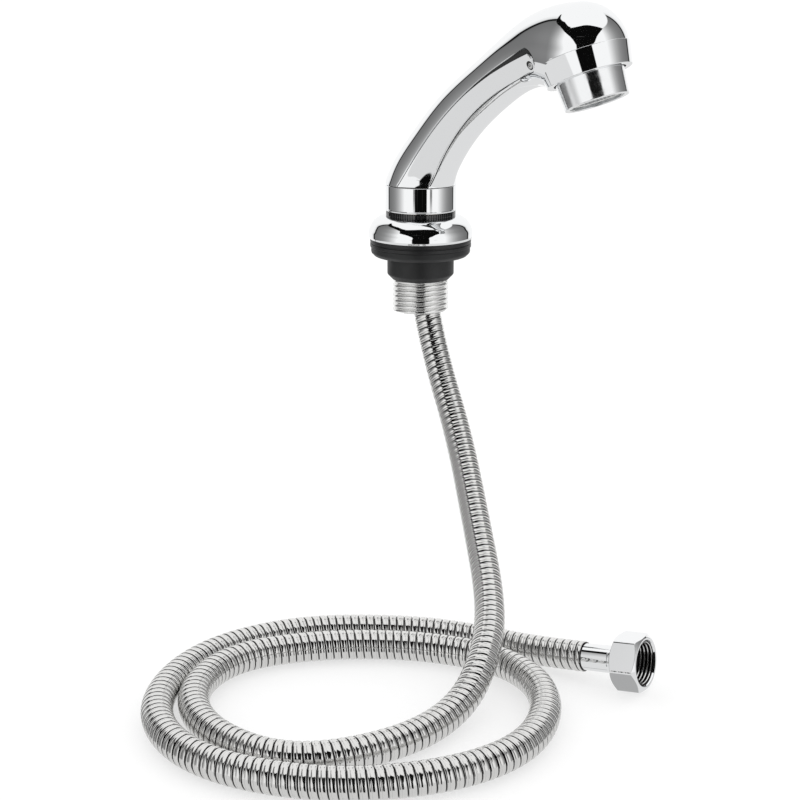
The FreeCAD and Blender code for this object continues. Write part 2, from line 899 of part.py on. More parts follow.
class Bend:
    """Tangent arc of a route round one corner."""

    def __init__(self, corner, before, after, radius):
        turn = before.getAngle(after)
        setback = radius * math.tan(turn / 2)
        self.start = corner - before * setback
        self.end = corner + after * setback
        self.radius = radius
        self.length = radius * turn
        self.before = before
        axis = before.cross(after).normalize()
        self.inward = axis.cross(before)
        self.centre = self.start + self.inward * radius

    def edge(self):
        middle = self.at(self.length / 2)[0]
        return Part.Arc(self.start, middle, self.end).toShape()

    def at(self, distance):
        angle = distance / self.radius
        out = self.inward * -math.cos(angle) + self.before * math.sin(angle)
        along = self.before * math.cos(angle) + self.inward * math.sin(angle)
        return self.centre + out * self.radius, along


def rounded_route(points, radii):
    """Runs and bends through the points, with one radius for each inner point."""
    pieces = []
    here = points[0]
    for index, radius in enumerate(radii, start=1):
        before = (points[index] - points[index - 1]).normalize()
        after = (points[index + 1] - points[index]).normalize()
        bend = Bend(points[index], before, after, radius)
        pieces.append(Run(here, bend.start))
        pieces.append(bend)
        here = bend.end
    pieces.append(Run(here, points[-1]))
    return pieces


def sit_on_route(pieces, distance):
    """Place and direction at a distance from the start of the route."""
    for piece in pieces:
        if distance <= piece.length:
            return piece.at(distance)
        distance -= piece.length
    last = pieces[-1]
    return last.at(last.length)


def water_tube():
    """Bent tube from the swivel socket to the port of the flow core."""
    lean = math.radians(sizes["head_lean"])
    across = vector(math.cos(lean), 0, math.sin(lean))
    up = vector(-math.sin(lean), 0, math.cos(lean))
    port_line = vector(sizes["head_x"], 0, sizes["head_z"]) + up * sizes["port_rise"]
    points = [
        vector(0, 0, measured(socket_top)),
        vector(0, 0, sizes["tube_knee"]),
        port_line - across * sizes["port_knee"],
        port_line - across * sizes["port_reach"],
    ]
    pieces = rounded_route(points, [sizes["tube_bend"], sizes["port_bend"]])
    path = Part.Wire([piece.edge() for piece in pieces])
    shapes = []
    for radius in (sizes["tube_radius"], sizes["waterway"]):
        ring = Part.Wire(Part.Circle(points[0], vector(0, 0, 1), radius).toShape())
        shapes.append(path.makePipeShell([ring], True, False))
    thing = document.addObject("Part::Feature", "WaterTube")
    thing.Shape = shapes[0].cut(shapes[1])
    return thing


sub_part(water_tube(), "water_tube")


# Hose: ribs on a route of runs and arcs
def hose_radii(points):
    """Each arc is as large as its two runs allow."""
    radii = []
    for index in range(1, len(points) - 1):
        before = points[index] - points[index - 1]
        after = points[index + 1] - points[index]
        half_turn = before.getAngle(after) / 2
        radii.append(0.45 * min(before.Length, after.Length) / math.tan(half_turn))
    return radii


def ring_wires(pieces, stations_on_hose):
    """Circles square to the route; each has its X axis carried along without twist."""
    wires = []
    side = vector(1, 0, 0)
    for distance, radius in stations_on_hose:
        point, along = sit_on_route(pieces, distance)
        side = (side - along * side.dot(along)).normalize()
        circle = Part.Circle(point, along, radius)
        circle.XAxis = side
        wires.append(Part.Wire(circle.toShape()))
    return wires


def least_gap(pieces, length):
    """Least clear distance of the hose to itself, away from its own neighbourhood."""
    step = 3.0
    apart = int(12 * sizes["hose_radius"] / step)
    points = [sit_on_route(pieces, index * step)[0] for index in range(int(length / step) + 1)]
    nearest = min(
        (points[first] - points[second]).Length
        for first in range(len(points))
        for second in range(first + apart, len(points)))
    return nearest - 2 * sizes["hose_radius"]


def shower_hose():
    points = [vector(*place_on_route) for place_on_route in hose_route]
    radii = hose_radii(points)
    pieces = rounded_route(points, radii)
    length = sum(piece.length for piece in pieces)
    crest = sizes["hose_radius"]
    root = sizes["hose_root"]
    pitch = length / rib_count
    outer = []
    inner = []
    for rib in range(rib_count):
        start = rib * pitch
        inner.append((start, sizes["hose_bore"]))
        outer.append((start, root))
        outer.append((start + 0.2 * pitch, crest))
        outer.append((start + 0.75 * pitch, crest))
        outer.append((start + 0.95 * pitch, root))
    outer.append((length, root))
    inner.append((length, sizes["hose_bore"]))
    outer_wires = ring_wires(pieces, outer)
    inner_wires = ring_wires(pieces, inner)
    jacket = Part.makeLoft(outer_wires, True, True)
    bore = Part.makeLoft(inner_wires, True, True)
    thing = document.addObject("Part::Feature", "ShowerHose")
    thing.Shape = jacket.cut(bore)
    print("hose length", round(length, 1))
    print("hose arc radii", [round(radius, 1) for radius in radii])
    print("least gap of the hose to itself", round(least_gap(pieces, length), 2))
    slope = (crest ** 2 + crest * root + root ** 2) / 3
    mean_square = 0.55 * crest ** 2 + 0.05 * root ** 2 + 0.4 * slope
    section = math.pi * (mean_square - sizes["hose_bore"] ** 2)
    print("hose volume", round(thing.Shape.Volume), "section x length", round(section * length))
    return thing


sub_part(shower_hose(), "shower_hose")

# Coupling at the free end of the hose, drawn upright and laid along the last run
last_point = vector(*hose_route[-1])
last_way = last_point - vector(*hose_route[-2])
level = vector(0, 0, 1).cross(last_way)
at_hose_end = FreeCAD.Placement(
    last_point, FreeCAD.Rotation(level, last_way.cross(level), last_way, "ZYX"))
flange_foot = "ferrule_length"
flange_top = flange_foot + " + tail_flange_height"
washer_foot = flange_top + " + tail_play"
washer_top = washer_foot + " + nut_washer_height"
nut_foot = "ferrule_length - nut_back - tail_play"
nut_top = nut_foot + " + nut_length"


def laid(thing):
    thing.Placement = at_hose_end
    return thing


def hose_tail():
    """Flanged insert inside the hose end; the nut turns against its flange."""
    sleeve = "hose_bore - tail_play"
    return revolved("HoseTail", [
        ("waterway", "ferrule_length - tail_reach"),
        (sleeve, "ferrule_length - tail_reach"),
        (sleeve, flange_foot),
        ("tail_flange", flange_foot),
        ("tail_flange", flange_top),
        ("waterway", flange_top),
    ])


def coupling_nut():
    """Hexagon nut with chamfered corners, a back wall and a bored thread."""
    face = "nut_flats/2 + nut_face"
    corner = "nut_flats/2 + nut_round"
    hole = "ferrule_radius + nut_play"
    step = nut_foot + " + nut_back"
    turned = revolved("NutTurned", [
        (hole, nut_foot),
        (face, nut_foot),
        (corner, nut_foot + " + nut_chamfer"),
        (corner, nut_top + " - nut_chamfer"),
        (face, nut_top),
        ("nut_bore + nut_entry", nut_top),
        ("nut_bore", nut_top + " - nut_entry"),
        ("nut_bore", washer_top),
        ("nut_bore + nut_relief", washer_top),
        ("nut_bore + nut_relief", step),
        (hole, step),
    ])
    prism = hexagon("NutHexagon", "nut_flats", nut_top)
    return combined("Common", "CouplingNut", laid(turned), laid(prism))


sub_part(laid(tube("HoseFerrule", "ferrule_radius", "hose_bore", "0", "ferrule_length")),
         "hose_ferrule")
sub_part(laid(hose_tail()), "hose_tail")
sub_part(coupling_nut(), "coupling_nut")
sub_part(laid(tube("NutWasher", "nut_bore - nut_play", "washer_bore", washer_foot, washer_top)),
         "nut_washer")

# Check every object and write each sub-part
document.recompute()
failed = [item.Label for item in document.Objects
          if "Invalid" in item.State or "Error" in item.State]
if failed:
    raise RuntimeError(f"failed objects: {failed}")
for label, thing in parts.items():
    if thing.Shape.isNull() or not thing.Shape.isValid():
        raise RuntimeError(f"bad shape: {label}")
os.makedirs("parts", exist_ok=True)
for label, thing in parts.items():
    thing.Shape.exportStep(f"parts/{label}.step")
    print(label, len(thing.Shape.Solids), round(thing.Shape.Volume, 1))
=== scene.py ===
import json
import math

import bmesh
import bpy
import numpy as np
from mathutils import Matrix, Vector


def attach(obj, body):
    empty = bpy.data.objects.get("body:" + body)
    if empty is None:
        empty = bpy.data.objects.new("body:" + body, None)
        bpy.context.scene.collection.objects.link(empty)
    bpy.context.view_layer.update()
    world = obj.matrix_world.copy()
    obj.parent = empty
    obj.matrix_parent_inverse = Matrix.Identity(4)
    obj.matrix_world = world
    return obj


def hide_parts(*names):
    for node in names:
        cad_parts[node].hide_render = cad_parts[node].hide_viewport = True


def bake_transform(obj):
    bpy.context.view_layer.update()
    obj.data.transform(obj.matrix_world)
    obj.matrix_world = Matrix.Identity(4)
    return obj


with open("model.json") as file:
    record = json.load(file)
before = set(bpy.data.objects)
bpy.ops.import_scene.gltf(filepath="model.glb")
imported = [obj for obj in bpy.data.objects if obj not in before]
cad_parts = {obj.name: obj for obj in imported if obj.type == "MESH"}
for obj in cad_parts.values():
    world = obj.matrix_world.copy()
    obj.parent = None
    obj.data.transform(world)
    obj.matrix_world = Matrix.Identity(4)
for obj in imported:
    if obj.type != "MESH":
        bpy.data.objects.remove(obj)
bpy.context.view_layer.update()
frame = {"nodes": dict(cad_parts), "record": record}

mm = 0.001


# Camera: a long lens a little above the spout, looking down on the hose
cameraSetup = {
    "place": (0.5183, -0.6343, 0.1490),
    "looking": (-0.6194, 0.7382, -0.2672),
    "lens": 72, "sensor": 36,
}


def makeCamera():
    camera = bpy.data.objects.new("studioCamera", bpy.data.cameras.new("studioCamera"))
    camera.location = cameraSetup["place"]
    camera.rotation_euler = Vector(cameraSetup["looking"]).to_track_quat("-Z", "Y").to_euler()
    camera.data.lens = cameraSetup["lens"]
    camera.data.sensor_width = cameraSetup["sensor"]
    camera.data.clip_start = 0.01
    bpy.context.collection.objects.link(camera)
    bpy.context.scene.camera = camera


makeCamera()
print("camera placed")


# Nodes and colours
def linear(hexColour):
    channels = [int(hexColour[i:i + 2], 16) / 255 for i in (1, 3, 5)]
    curved = [c / 12.92 if c <= 0.04045 else ((c + 0.055) / 1.055) ** 2.4 for c in channels]
    return (*curved, 1.0)


# adds a node; a setting is a property of it, a ramp's stops or an input's value
def addNode(tree, kind, settings=None, links=None):
    added = tree.nodes.new(kind)
    for key, value in (settings or {}).items():
        if key == "stops":
            marks = added.color_ramp.elements
            marks.remove(marks[1])
            marks[0].position, marks[0].color = value[0]
            for position, colour in value[1:]:
                marks.new(position).color = colour
        elif isinstance(key, str) and key in added.bl_rna.properties:
            setattr(added, key, value)
        else:
            added.inputs[key].default_value = value
    for key, source in (links or {}).items():
        tree.links.new(source, added.inputs[key])
    return added


def startMaterial(name):
    material = bpy.data.materials.new(name)
    material.use_nodes = True
    return material, material.node_tree, material.node_tree.nodes["Principled BSDF"]


# a cloudy pattern that stays with the piece; its scale is 1 over its patches' size in metres
def addPattern(tree, scale, detail):
    place = addNode(tree, "ShaderNodeTexCoord").outputs["Object"]
    return addNode(tree, "ShaderNodeTexNoise", {"Scale": scale, "Detail": detail}, {
        "Vector": place}).outputs["Fac"]


# a colour between two tints by a pattern
def varyColour(tree, surface, pattern, stops):
    colour = addNode(tree, "ShaderNodeValToRGB", {"stops": [
        (position, linear(tint)) for position, tint in stops]}, {"Fac": pattern})
    tree.links.new(colour.outputs["Color"], surface.inputs["Base Color"])


# a roughness that wavers with a pattern, between two shares of the haze
def varyGloss(tree, surface, pattern, haze, shares):
    gloss = addNode(tree, "ShaderNodeMapRange", {
        "From Min": 0.3, "From Max": 0.7, "To Min": haze * shares[0], "To Max": haze * shares[1],
    }, {"Value": pattern})
    tree.links.new(gloss.outputs["Result"], surface.inputs["Roughness"])


# Chrome plate over polished metal: a mirror, slightly blue, with a faint cloud in its gloss
def makeChromePlate(name, tint, haze):
    material, tree, surface = startMaterial(name)
    surface.inputs["Metallic"].default_value = 1.0
    surface.inputs["Base Color"].default_value = linear(tint)
    # buffing marks are about 4 mm across
    varyGloss(tree, surface, addPattern(tree, 250.0, 2.0), haze, (0.6, 1.4))
    return material


# Cold-rolled or turned metal without plate: bright, a little soft, in patches of two tints
def makeRolledSteel(name, tint, haze):
    material, tree, surface = startMaterial(name)
    surface.inputs["Metallic"].default_value = 1.0
    patches = addPattern(tree, 400.0, 3.0)
    varyColour(tree, surface, patches, [(0.3, tint), (0.75, "#e6e5e3")])
    varyGloss(tree, surface, patches, haze, (0.6, 1.5))
    return material


# painted shade in grooves: the deeper a groove, the darker its metal
def shadeGrooveRoots(material, rootShade, first, last):
    tree = material.node_tree
    colour = tree.nodes["Principled BSDF"].inputs["Base Color"]
    depth = addNode(tree, "ShaderNodeAttribute", {"attribute_name": "groove"})
    share = addNode(tree, "ShaderNodeMapRange", {"From Min": first, "From Max": last}, {
        "Value": depth.outputs["Fac"]})
    settings, links = {"data_type": "RGBA", "B": linear(rootShade)}, {"Factor": share.outputs["Result"]}
    if colour.is_linked:
        links["A"] = colour.links[0].from_socket
    else:
        settings["A"] = tuple(colour.default_value)
    mixed = addNode(tree, "ShaderNodeMix", settings, links)
    tree.links.new(mixed.outputs["Result"], colour)


# Moulded plastic or rubber: matt, in two close tints, with a fine mould grain
def makeMoulding(name, tint, worn, roughness, grain):
    material, tree, surface = startMaterial(name)
    patches = addPattern(tree, 180.0, 4.0)
    varyColour(tree, surface, patches, [(0.35, tint), (0.7, worn)])
    surface.inputs["Roughness"].default_value = roughness
    surface.inputs["IOR"].default_value = 1.5
    # the real grain is 0.1 mm; drawn at 0.4 mm so that it shows
    bump = addNode(tree, "ShaderNodeBump", {"Strength": grain, "Distance": 0.05 * mm}, {
        "Height": addPattern(tree, 2500.0, 2.0)})
    tree.links.new(bump.outputs["Normal"], surface.inputs["Normal"])
    return material


# a hard mirror on the metal parts, a little milkier on the moulded ones, satin on the cup
chromePlate = makeChromePlate("chromePlateOverBrass", "#f5f6f7", 0.03)
panelChrome = makeChromePlate("chromePlateOverMouldedAbs", "#f0f1f2", 0.05)
cupPlate = makeChromePlate("softerPlateOverCup", "#f3f4f5", 0.13)
# threads are duller, since plate is thin where it is cut; in the nut their roots get painted
# shade, near black
threadPlate = makeChromePlate("thinPlateOverCutThread", "#f0f0ef", 0.2)
hoseSteel = makeRolledSteel("coldRolledSteelStrip", "#e0e0df", 0.10)
# painted shade at the roots of the hose's grooves
shadeGrooveRoots(hoseSteel, "#0c0c0c", 0.2, 0.55)
borePlate = makeChromePlate("thinPlateInNutBore", "#f0f0ef", 0.2)
# painted shade at the roots of the nut's thread
shadeGrooveRoots(borePlate, "#0a0a0a", 0.2, 0.6)
# the metal that shows past the plated parts: grey screws and clip, warm brass
turnedSteel = makeRolledSteel("turnedStainlessSteel", "#c9cacb", 0.14)
turnedBrass = makeRolledSteel("turnedBrass", "#c2a468", 0.20)
# the seal and the bush soak up light, the seat ring's teeth glitter
blackRubber = makeMoulding("mouldedEpdmRubber", "#0f0f10", "#17181a", 0.42, 0.4)
# also the black sheet of painted shade under the handle's panels
blackPlasticAndShade = makeMoulding("mouldedBlackPolypropyleneAndShadeBed", "#111213", "#1b1c1d", 0.5, 0.4)
glossBlack = makeMoulding("polishedBlackAcetal", "#0c0c0d", "#141415", 0.08, 0.05)
glossBlack.node_tree.nodes["Principled BSDF"].inputs["Coat Weight"].default_value = 1.0
# a pale rim round the grey spray plate
whitePlastic = makeMoulding("mouldedWhiteAcetal", "#dcdddc", "#e9e9e6", 0.35, 0.2)
greyPlastic = makeMoulding("mouldedGreyAbs", "#8d8f90", "#a1a3a4", 0.45, 0.3)
slotMaterials = {
    "chrome": chromePlate,
    "panel_chrome": panelChrome,
    "hose_steel": hoseSteel,
    "steel": turnedSteel,
    "brass": turnedBrass,
    "black_rubber": blackRubber,
    "black_plastic": blackPlasticAndShade,
    "white_plastic": whitePlastic,
    "grey_plastic": greyPlastic,
}
for part in frame["record"]["subparts"]:
    for holder in frame["nodes"][part["node"]].material_slots:
        holder.material = slotMaterials[part["material_slot"]]
print("materials made")


# Shapes
def finishPiece(piece, body, slotName, standsFor=(), material=None):
    piece.data.materials.append(material or slotMaterials[slotName])
    if standsFor:
        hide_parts(*standsFor)
    if body:
        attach(piece, body)
    return piece


def addPiece(name, mesh, at=None):
    piece = bpy.data.objects.new(name, mesh)
    bpy.context.collection.objects.link(piece)
    if at is not None:
        mesh.transform(at)
    return piece


# the corners of each cell in a grid of numbered points
def gridCells(index):
    corners = [index[:-1, :-1], index[:-1, 1:], index[1:, 1:], index[1:, :-1]]
    return np.stack(corners, -1).reshape(-1, 4)


# joins points that meet, drops slivers and turns the faces outward
def cleanMesh(mesh, meeting, sliver, fillHoles=False):
    shape = bmesh.new()
    shape.from_mesh(mesh)
    bmesh.ops.remove_doubles(shape, verts=shape.verts, dist=meeting)
    bmesh.ops.dissolve_degenerate(shape, edges=shape.edges, dist=sliver)
    if fillHoles:
        bmesh.ops.holes_fill(shape, edges=[e for e in shape.edges if e.is_boundary], sides=0)
    bmesh.ops.recalc_face_normals(shape, faces=shape.faces)
    shape.to_mesh(mesh)
    shape.free()


def shadeCrisp(mesh, degrees):
    mesh.shade_smooth()
    mesh.set_sharp_from_angle(angle=math.radians(degrees))


# a closed outline of (radius, height, rounding) in mm, walked with the metal on its left;
# gives its points with their normals
def softened(corners, steps=5):
    line = []
    for k, (radius, height, rounding) in enumerate(corners):
        here = Vector((radius, height))
        back = Vector(corners[k - 1][:2]) - here
        forth = Vector(corners[(k + 1) % len(corners)][:2]) - here
        angle = back.angle(forth)
        # a rounding takes less than half of the edges beside it
        reach = min(rounding / math.tan(angle / 2), 0.48 * back.length, 0.48 * forth.length)
        way, onward = -back.normalized(), forth.normalized()
        start, end = here - way * reach, here + onward * reach
        turn = math.atan2(way.x * onward.y - way.y * onward.x, way.dot(onward))
        bend = reach * math.tan(angle / 2)
        centre = start + Vector((-way.y, way.x)) * math.copysign(bend, turn)
        for step in range(steps + 1):
            heading = Matrix.Rotation(turn * step / steps, 2) @ way
            outward = Vector((heading.y, -heading.x))
            point = centre + outward * math.copysign(bend, turn)
            line.append((*point, *outward))
    return line


# turns an outline about an upright axis; a tooth's first two columns lie low
def turned(name, corners, around=144, steps=5, at=None, teeth=None):
    line = np.array(softened(corners, steps))
    angles = np.arange(around) * 2 * math.pi / around
    if teeth:
        count, spots = teeth["count"], np.array(teeth["columns"])
        around = count * len(spots)
        angles = (np.arange(count)[:, None] + spots).ravel() * 2 * math.pi / count
    wheel = np.stack([np.cos(angles), np.sin(angles)], 1)
    points = np.empty((len(line), around, 3))
    normals = np.empty((len(line), around, 3))
    for filled, first in ((points, 0), (normals, 2)):
        filled[..., :2] = line[:, first, None, None] * wheel[None]
        filled[..., 2] = line[:, first + 1, None]
    if teeth:
        low = np.flatnonzero(np.arange(around) % len(spots) < 2)
        for row in np.flatnonzero(line[:, 0] > teeth["outside"]):
            points[row, low, :2] *= 1 - teeth["depth"] / line[row, 0]
    index = np.arange(len(line) * around).reshape(-1, around)
    faces = gridCells(np.pad(index, ((0, 1), (0, 1)), mode="wrap"))
    mesh = bpy.data.meshes.new(name)
    mesh.from_pydata((points.reshape(-1, 3) * mm).tolist(), [], faces.tolist())
    if teeth:
        shadeCrisp(mesh, teeth["crisp"])
    else:
        mesh.shade_smooth()
        mesh.normals_split_custom_set_from_vertices(normals.reshape(-1, 3).tolist())
    return addPiece(name, mesh, at)


# a finished turned piece, whose outline is in the setup under its name
def addTurned(name, setup, body, slotName, standsFor=(), material=None, **shape):
    return finishPiece(turned(name, setup[name], **shape), body, slotName, standsFor, material)


# rings joined into a closed skin; the last joins the first, or both shrink to a point
def skinned(name, rings, at=None, crisp=28, closed=True):
    points = np.array(rings, float)
    index = np.arange(points.size // 3).reshape(points.shape[:2])
    faces = gridCells(np.pad(index, ((0, int(closed)), (0, 1)), mode="wrap"))
    mesh = bpy.data.meshes.new(name)
    mesh.from_pydata((points.reshape(-1, 3) * mm).tolist(), [], faces.tolist())
    cleanMesh(mesh, 1e-6, 1e-7)
    shadeCrisp(mesh, crisp)
    return addPiece(name, mesh, at)


# Hose: the middle line is one smooth spline through the route, in mm
hoseSetup = {
    "route": [
        (0, 0, 14), (0, 0, -12), (12, -2, -52), (39, -16, -87), (72, -44, -119),
        (103, -73, -142), (125, -105, -151), (133, -134, -165), (133, -177, -165),
        (109, -217, -165), (65, -220, -165), (30, -199, -165), (17.5, -159, -165),
        (43, -119, -165), (82, -90, -165), (122, -81, -165), (156, -99, -165),
        (176, -141, -165), (165, -185, -165), (129, -224, -165), (75, -241, -165),
        (28, -221, -165), (3.8, -170, -165), (18, -118, -165), (60, -82, -165),
        (95, -69, -165), (122, -63.5, -165), (148, -60, -161.5),
    ],
    "pitch": 3.72, "columns": 36, "endRadius": 6.2,
    # heights in metres where the strip lies closer, and how far it is pulled, in mm
    "closeTop": 0.012, "closeFoot": -0.030, "closeReach": 0.1, "pull": 120,
    # one turn of the folded strip: share of the pitch, radius in mm
    "rib": [
        (0, 6.24), (0.045, 6.28), (0.085, 6.74), (0.15, 6.92), (0.3, 7.02), (0.46, 7.02),
        (0.59, 6.96), (0.65, 6.78), (0.71, 6.92), (0.84, 6.9), (0.95, 6.74),
    ],
}


def routeLine():
    curve = bpy.data.curves.new("hoseRoute", "CURVE")
    curve.dimensions = "3D"
    spline = curve.splines.new("NURBS")
    spline.points.add(len(hoseSetup["route"]) - 1)
    for point, place in zip(spline.points, hoseSetup["route"]):
        point.co = (*(value * mm for value in place), 1.0)
    spline.order_u = 3
    spline.use_endpoint_u = True
    spline.resolution_u = 48
    guide = bpy.data.objects.new("hoseRoute", curve)
    mesh = bpy.data.meshes.new_from_object(guide)
    line = np.array([vertex.co for vertex in mesh.vertices], float)
    bpy.data.objects.remove(guide)
    bpy.data.meshes.remove(mesh)
    bpy.data.curves.remove(curve)
    return line


# distances along a line, and two directions square to it that don't twist
def carriedFrames(line):
    steps = np.linalg.norm(np.diff(line, axis=0), axis=1)
    distance = np.concatenate([[0], np.cumsum(steps)])
    heading = np.gradient(line, distance, axis=0)
    heading /= np.linalg.norm(heading, axis=1)[:, None]
    side = [np.cross(heading[0], (0.0, 1.0, 0.0))]
    for way in heading[1:]:
        carried = side[-1] - way * np.dot(side[-1], way)
        side.append(carried / np.linalg.norm(carried))
    side = np.array(side)
    return line, distance, side, np.cross(heading, side)


# a tube whose outline winds round it: each turn runs from one stop to the next; with a
# bore it is open, and its other wall is plain
def wound(name, frames, stops, rib, columns, endRadius, bore=None):
    line, distance, side, across = frames
    share, size = np.array(rib).T
    size = size * mm
    count = len(rib)
    first, last = stops[1] - stops[0], stops[-1] - stops[-2]
    stops = np.concatenate([[stops[0] - first], stops, [stops[-1] + last, stops[-1] + 2 * last]])
    spots = (stops[:-1, None] + share[None] * np.diff(stops)[:, None]).ravel()
    rows = len(spots) - count
    turnShare = np.arange(columns) / columns
    along = spots[:rows, None] * (1 - turnShare) + spots[count:, None] * turnShare
    radius = np.tile(size, len(stops) - 1)[:rows, None] * np.ones(columns)
    radius[(along <= 0) | (along >= distance[-1])] = endRadius * mm
    along = np.clip(along, 0, distance[-1])
    if bore:
        along = np.concatenate([along, [along[0], along[-1]]])
        radius = np.concatenate([radius, np.full((2, columns), bore * mm)])
    angle = (turnShare * 2 * math.pi)[:, None]

    def at(values):
        return np.stack([np.interp(along, distance, values[:, k]) for k in range(3)], -1)

    outward = at(side) * np.cos(angle) + at(across) * np.sin(angle)
    points = at(line) + outward * radius[..., None]
    faces = [gridCells(np.arange(rows * columns).reshape(rows, columns))]
    # across the seam each row goes on into the next turn
    edge = np.arange(rows - 1 - count) * columns + columns - 1
    onward = edge + 1 + (count - 1) * columns
    faces.append(np.stack([edge, onward, onward + columns, edge + columns], -1))
    if bore:
        here = np.arange(columns)
        beside = (here + 1) % columns
        inner, outer = rows * columns, (rows + 1) * columns
        end = (rows - 1) * columns
        for one, other in ((0, inner), (inner, outer), (outer, end)):
            faces.append(np.stack([one + here, one + beside, other + beside, other + here], -1))
    mesh = bpy.data.meshes.new(name)
    mesh.from_pydata(points.reshape(-1, 3).tolist(), [], np.concatenate(faces).tolist())
    # 0 on the crests and 1 at the roots, for the painted groove shade in the materials
    depth = (radius - size.min() if bore else size.max() - radius) / np.ptp(size)
    mesh.attributes.new("groove", "FLOAT", "POINT").data.foreach_set("value", depth.ravel())
    cleanMesh(mesh, 2e-7, 1e-8, fillHoles=True)
    mesh.shade_smooth()
    return addPiece(name, mesh)


def makeHose():
    size = hoseSetup
    frames = carriedFrames(routeLine())
    distance = frames[1]
    # in the shank the strip lies closer, so that it is even again when it is pulled out
    top, foot = size["closeTop"], size["closeFoot"]
    share = np.clip((frames[0][:, 2] - foot) / (top - foot), 0, 1)
    lift = size["pull"] * mm * share * share * (3 - 2 * share)
    lift[distance > size["closeReach"]] = 0
    pulled = np.concatenate([[0], np.cumsum(np.diff(distance) + np.abs(np.diff(lift)))])
    turns = int(round(pulled[-1] / (size["pitch"] * mm)))
    stops = np.interp(np.linspace(0, pulled[-1], turns + 1), pulled, distance)
    hose = wound("hose", frames, stops, size["rib"], size["columns"], size["endRadius"])
    finishPiece(hose, None, "hose_steel", ["shower_hose"])
    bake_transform(hose)
    return hose, frames


hose, hoseFrames = makeHose()
print("hose wound", len(hose.data.polygons), "length", hoseFrames[1][-1])


# Base: the bush in the deck hole, its seal, the chrome bell and the threaded shank
baseSetup = {
    "deckBush": [(14.5, -12.4, 0.15), (17.25, -9.6, 1.3), (17.25, 0, 0.35), (23.8, 0, 1.2),
                 (25.6, 1.8, 1.5), (25.6, 4.58, 0.3), (14.5, 4.58, 0.2)],
    "sealRing": [(14.6, 4.62, 0.1), (26.1, 4.62, 0.35), (26.1, 6.42, 0.25), (25.6, 6.6, 0.15),
                 (25.6, 7.1, 0.15), (26.1, 7.28, 0.25), (26.1, 9.08, 0.45), (14.6, 9.08, 0.1)],
    "baseBell": [(24.8, 9.1, 0.15), (26.5, 9.1, 0.25), (26.8, 10.2, 1.2), (26.8, 13.6, 9.5),
                 (24.4, 18.1, 8.4), (20.4, 20.6, 7), (14.5, 20.6, 0.3), (14.5, 11.6, 0.2),
                 (17.05, 11.6, 0.2), (17.05, 18.6, 0.3), (18.6, 18.6, 0.3), (24.8, 12.4, 4)],
    "neckRing": [(14.95, 20.62, 0.1), (17.9, 20.62, 0.1), (17.9, 23.25, 0.15),
                 (14.95, 23.25, 0.1)],
    # a tooth's columns by share of its width; teeth are cut outside this radius
    "neckTeeth": {"count": 84, "columns": (0, 0.3, 0.38, 0.92), "depth": 0.55, "outside": 17.5,
                  "crisp": 30},
    "shankTop": [(12.45, -12, 0.1), (13.9, -12, 0.1), (13.9, 20.4, 0.3), (12.45, 20.4, 0.3)],
    # six turns show below the hub, so 2.6 mm from one crest to the next
    "threadPitch": 2.6,
    "thread": [(0, 12.95), (0.07, 13.15), (0.14, 13.95), (0.24, 14.28), (0.36, 14.38),
               (0.55, 14.38), (0.7, 14.25), (0.82, 13.9), (0.92, 13.15)],
    "threadSpan": (-28.6, -11.6), "threadColumns": 96, "threadEnd": 13.3, "bore": 12.45,
}


# a thread wound on a plain wall, upright over its span of heights
def threaded(name, size):
    low, high = size["threadSpan"]
    tall, pitch = (high - low) * mm, size["threadPitch"] * mm
    line = np.array([(0, 0, low), (0, 0, high)], float) * mm
    ways = np.array([(1.0, 0, 0)] * 2), np.array([(0, 1.0, 0)] * 2)
    return wound(name, (line, np.array([0, tall]), *ways), np.arange(0, tall + pitch, pitch),
                 size["thread"], size["threadColumns"], size["threadEnd"], size["bore"])


def makeBase():
    size = baseSetup
    addTurned("deckBush", size, "base", "black_plastic", ["centring_bush"])
    addTurned("sealRing", size, "base", "black_rubber", ["rubber_gasket"])
    addTurned("baseBell", size, "base", "chrome", ["base_dome"], steps=10)
    addTurned("neckRing", size, "base", "black_plastic", ["neck_ring"], glossBlack,
              steps=2, teeth=size["neckTeeth"])
    finishPiece(threaded("shankThread", size), "base", "chrome", ["threaded_shank"], threadPlate)
    addTurned("shankTop", size, "base", "chrome")


makeBase()
print("base made")


# Collar: the chrome band between the base and the handle
collarSetup = {
    "collarBand": [(16.6, 23.6, 0.1), (18.35, 23.6, 0.3), (18.5, 24.3, 0.3), (18.2, 24.7, 0.2),
                   (18.2, 36.6, 0.3), (16.6, 36.6, 0.1)],
}
addTurned("collarBand", collarSetup, "collar", "chrome", ["collar_band"])
print("collar made")


# Head: the ring under the dome, the nozzle cup and its perforated plate
headSetup = {
    "place": (96.6, 0, 106.1), "lean": -21.5,
    "headRing": [(17.3, -11.8, 0.2), (20.5, -11.8, 0.5), (22.4, -1, 0.25),
                 (18.8, -1, 0.1), (18.8, -2.4, 0.1), (17.3, -2.4, 0.1)],
    "nozzleCup": [(12.95, -24.2, 0.4), (15.5, -24.2, 0.55), (17.2, -3.2, 0.2), (14.4, -3.2, 0.1),
                  (14.4, -13.9, 0.1), (12.95, -13.9, 0.1)],
    "plateRim": [(11.9, -22, 0.1), (12.1, -22.4, 0.15), (12.8, -22.4, 0.1), (12.8, -20.8, 0.1),
                 (11.9, -20.8, 0.1)],
    "plateBack": [(0.001, -21.3, 0), (3, -21.3, 0.2), (3.4, -21.55, 0.2), (11.8, -21.55, 0.1),
                  (11.8, -21, 0.1), (0.001, -21, 0)],
    # the real holes are 0.6 mm across; drawn coarser so that they show
    "meshSpacing": 2.1, "meshHole": 0.72, "meshRadius": 12,
    # cells stop this share of their spacing inside the rim
    "meshMargin": 0.35,
    "meshFace": -22.2, "meshDepth": 0.5,
    # the ball of the dome is flat inside the ring: out to this radius, at this height
    "flatRadius": 19.5, "flatHeight": -1.1,
}
